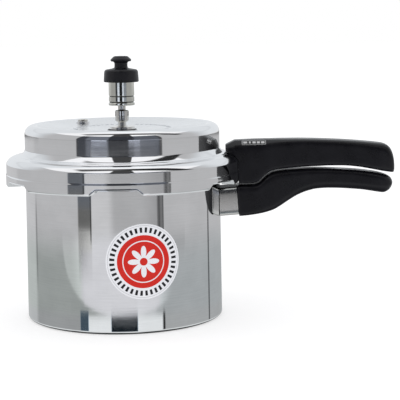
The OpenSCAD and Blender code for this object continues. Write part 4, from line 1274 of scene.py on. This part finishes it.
# oval pale table in front
ex = w.math("DIVIDE", w.math("SUBTRACT", az, 2.0), 76.0)
ey = w.math("DIVIDE", w.math("ADD", el, 8.4), 3.64)
oval = w.math("ADD", w.math("POWER", w.math("ABSOLUTE", ex), 2.4), w.math("POWER", w.math("ABSOLUTE", ey), 2.4))
low = w.ramp(el, -9.0, -8.0, 1.0, 0.0)
oval = both(w.ramp(oval, 0.975, 1.015, 1.0, 0.0), low)
table = w.mix(w.band(az, -52.0, 50.0, 11.0), w.ramp(az, -20.0, 20.0, 0.49, 0.41), 0.70)
e = w.mix(oval, e, table)
front = w.band(az, -51.0, 46.5, 0.6)
# pale middle above the table
strip = w.band(el, -8.6, -6.1, 0.3)
mid = w.mix(w.ramp(az, -16.0, -6.0), 0.60, 0.44)
mid = w.mix(w.ramp(az, 20.0, 44.0), mid, 0.36)
e = w.mix(both(front, strip), e, mid)
# dark brushed patch at its left, thin dark line at its right
phase = w.sums(w.math("MULTIPLY", el, 52.0), w.math("MULTIPLY", az, -1.3),
               w.math("MULTIPLY", w.noise(d, 14.0, 2.0, 0.5), 9.0))
swirl = w.sums(0.6, w.math("MULTIPLY", w.math("SINE", phase), 0.4))
upper = w.math("MULTIPLY", w.ramp(el, -8.6, -8.05), 0.84)
lower = w.math("MULTIPLY", w.ramp(el, -11.0, -9.0, 0.0, 0.72), w.ramp(az, -48.0, -35.0, 1.0, 0.4))
fade = w.math("MAXIMUM", upper, w.math("MULTIPLY", lower, swirl))
e = w.mix(both(w.band(az, -51.5, -34.6, 1.0), fade), e, 0.05)
e = w.mix(both(w.band(az, -36.2, -34.8, 0.4), w.ramp(el, -9.0, -8.6)), e, 0.05)
edge = w.ramp(el, -10.5, -9.0)
e = w.mix(w.math("MULTIPLY", both(w.band(az, 42.6, 49.9, 0.9), edge), 0.8), e, 0.1)
e = w.mix(w.math("MULTIPLY", both(w.band(az, 44.2, 45.4, 0.4), edge), 0.6), e, 0.04)
e = w.mix(w.math("MULTIPLY", both(w.band(az, 48.7, 49.9, 0.4), edge), 0.6), e, 0.04)
# dark opening in front, with a darker column
block = both(w.band(az, -51.0, 48.6, 0.5), w.band(el, -6.1, 44.0, 0.12))
dark = w.mix(w.band(az, -39.5, -12.5, 2.2), 0.065, 0.18)
dark = w.mix(w.band(az, 16.5, 46.0, 1.2), dark, 0.12)
e = w.mix(block, e, dark)
column = both(w.band(az, -12.5, 16.5, 1.0), w.band(el, -6.1, 88.0, 0.12))
e = w.mix(column, e, 0.04)
# far shelves at eye level: white, black, white, grey
shelf = w.band(el, -4.85, -2.3, 0.06)
e = w.mix(shelf, e, 0.40)
e = w.mix(both(w.band(az, -51.0, -33.0, 1.0), shelf), e, 0.05)
e = w.mix(both(w.band(az, -33.0, -14.5, 1.0), shelf), e, 1.0)
e = w.mix(both(w.band(az, -14.5, 10.0, 1.0), shelf), e, 0.008)
e = w.mix(both(w.band(az, 10.0, 24.0, 1.0), shelf), e, 1.0)
e = w.mix(both(w.band(az, 24.0, 48.6, 1.0), shelf), e, 0.36)
lower_shelf = w.band(el, -4.85, -3.75, 0.06)
e = w.mix(both(w.band(az, 104.0, 166.0, 4.0), lower_shelf), e, 0.05)
e = w.mix(both(w.band(az, -168.0, -112.0, 4.0), lower_shelf), e, 0.05)
e = w.mix(both(w.band(az, 126.0, 140.0, 3.0), shelf), e, 0.06)
# soft boxes high in front and high behind
high = w.ramp(el, 43.0, 44.5)
e = w.mix(high, e, 1.02)
e = w.mix(both(w.band(az, -12.5, 16.5, 1.0), w.band(el, 40.0, 74.0, 2.0)), e, 0.06)
# pale wall behind
back = w.band(azb, -70.0, 70.0, 20.0)
e = w.mix(both(back, w.band(el, -3.0, 22.0, 3.0)), e, 0.82)
e = w.mix(both(back, w.band(el, 22.0, 64.0, 4.0)), e, 0.8)
# dark beam overhead, from side to side
tilt = w.math("MULTIPLY", w.math("ARCTAN2", dy, dz), 57.29578)
beam = both(w.band(tilt, -25.0, -7.0, 2.0), both(w.ramp(dz, 0.2, 0.3), w.band(dx, -0.5, 0.85, 0.05)))
e = w.mix(beam, e, w.mix(w.ramp(dx, -0.15, 0.15), 0.12, 0.03))
# narrow joints between the wall panels
e = w.mix(w.math("MULTIPLY", both(w.band(az, -123.0, -119.5, 0.8), w.band(el, -10.8, -7.4, 0.8)), 0.55), e, 0.12)
e = w.mix(w.math("MULTIPLY", both(w.band(az, 118.6, 121.6, 0.6), w.ramp(el, -7.4, -7.0, 1.0, 0.0)), 0.8), e, 0.05)
# below: bright table edge, dark bars, then dark under the object
navy = both(w.band(az, -51.0, -40.5, 0.6), w.ramp(el, -11.9, -11.8, 1.0, 0.0))
e = w.mix(navy, e, 0.085)
e = w.mix(both(w.band(az, -40.5, 46.6, 0.6), w.ramp(el, -12.2, -11.9, 1.0, 0.0)), e, 0.84)
black = both(w.band(az, -13.5, 17.0, 0.6), w.ramp(el, -12.03, -11.97, 1.0, 0.0))
e = w.mix(black, e, 0.014)
navy = w.math("MAXIMUM", navy, black)
e = w.mix(both(w.band(az, 47.4, 49.8, 0.4), w.ramp(el, -12.0, -11.8, 1.0, 0.0)), e, 0.03)
e = w.mix(w.ramp(el, -20.0, -14.5, 1.0, 0.0), e, 0.78)
e = w.mix(w.ramp(el, -52.0, -40.0, 1.0, 0.0), e, 0.6)

green = both(w.ramp(el, -10.0, -8.2, 1.0, 0.0), w.ramp(el, -14.0, -12.5))
shade = w.blend(w.ramp(az, -20.0, 40.0), (0.965, 1.03, 1.0, 1.0), (0.955, 1.01, 1.03, 1.0))
col = w.blend(green, (1.0, 1.0, 1.015, 1.0), shade)
col = w.blend(both(oval, w.band(az, -49.0, 44.0, 3.0)), col, (0.99, 0.992, 1.03, 1.0))
col = w.blend(both(w.ramp(dy, 0.1, 0.3), w.ramp(el, -3.0, 3.0)), col, (0.965, 0.998, 1.03, 1.0))
col = w.blend(w.ramp(el, -12.2, -11.8, 1.0, 0.0), col, (0.97, 1.0, 1.01, 1.0))
col = w.blend(both(navy, w.ramp(el, -20.0, -14.5)), col, (0.66, 0.98, 1.28, 1.0))
patch = w.band(az, -51.5, -34.6, 1.0)
col = w.blend(both(patch, w.band(el, -7.3, -6.1, 0.05)), col, (0.9, 0.975, 1.1, 1.0))
col = w.blend(both(patch, w.band(el, -9.2, -7.38, 0.05)), col, (1.0, 1.0, 0.98, 1.0))
cool = both(w.band(az, -50.0, 47.0, 2.0), w.band(el, -5.9, 42.0, 0.5))
col = w.blend(cool, col, (0.92, 0.99, 1.16, 1.0))
glossy = w.vec("SCALE", col, None, e)
path = w.node("ShaderNodeLightPath")
ambient = w.join(w.ramp(el, -20.0, 60.0, 0.96, 1.27), w.ramp(el, -20.0, 60.0, 0.96, 1.27), w.ramp(el, -20.0, 60.0, 0.97, 1.29))
shown = w.blend(path.outputs["Is Diffuse Ray"], glossy, ambient)
shown = w.blend(path.outputs["Is Camera Ray"], shown, (1.0, 1.0, 1.0, 1.0))
w.put(shown, bg.inputs["Color"])
bg.inputs["Strength"].default_value = 1.0

# ---------------------------------------------------------------- camera, at the photograph's place
cam_data = bpy.data.cameras.new("camera")
cam = bpy.data.objects.new("camera", cam_data)
scene.collection.objects.link(cam)
scene.camera = cam
cam_data.sensor_fit = "HORIZONTAL"
cam_data.sensor_width = 36.0
cam_data.lens = 1309.6 / 400.0 * 36.0
cam_data.clip_start = 0.01
cam_data.clip_end = 60.0
cam.matrix_world = (
    Matrix.Translation((0.0706, -1.2, 0.2683))
    @ Matrix.Rotation(math.pi / 2 - 0.135, 4, "X")
    @ Matrix.Rotation(-0.012, 4, "Z")
)
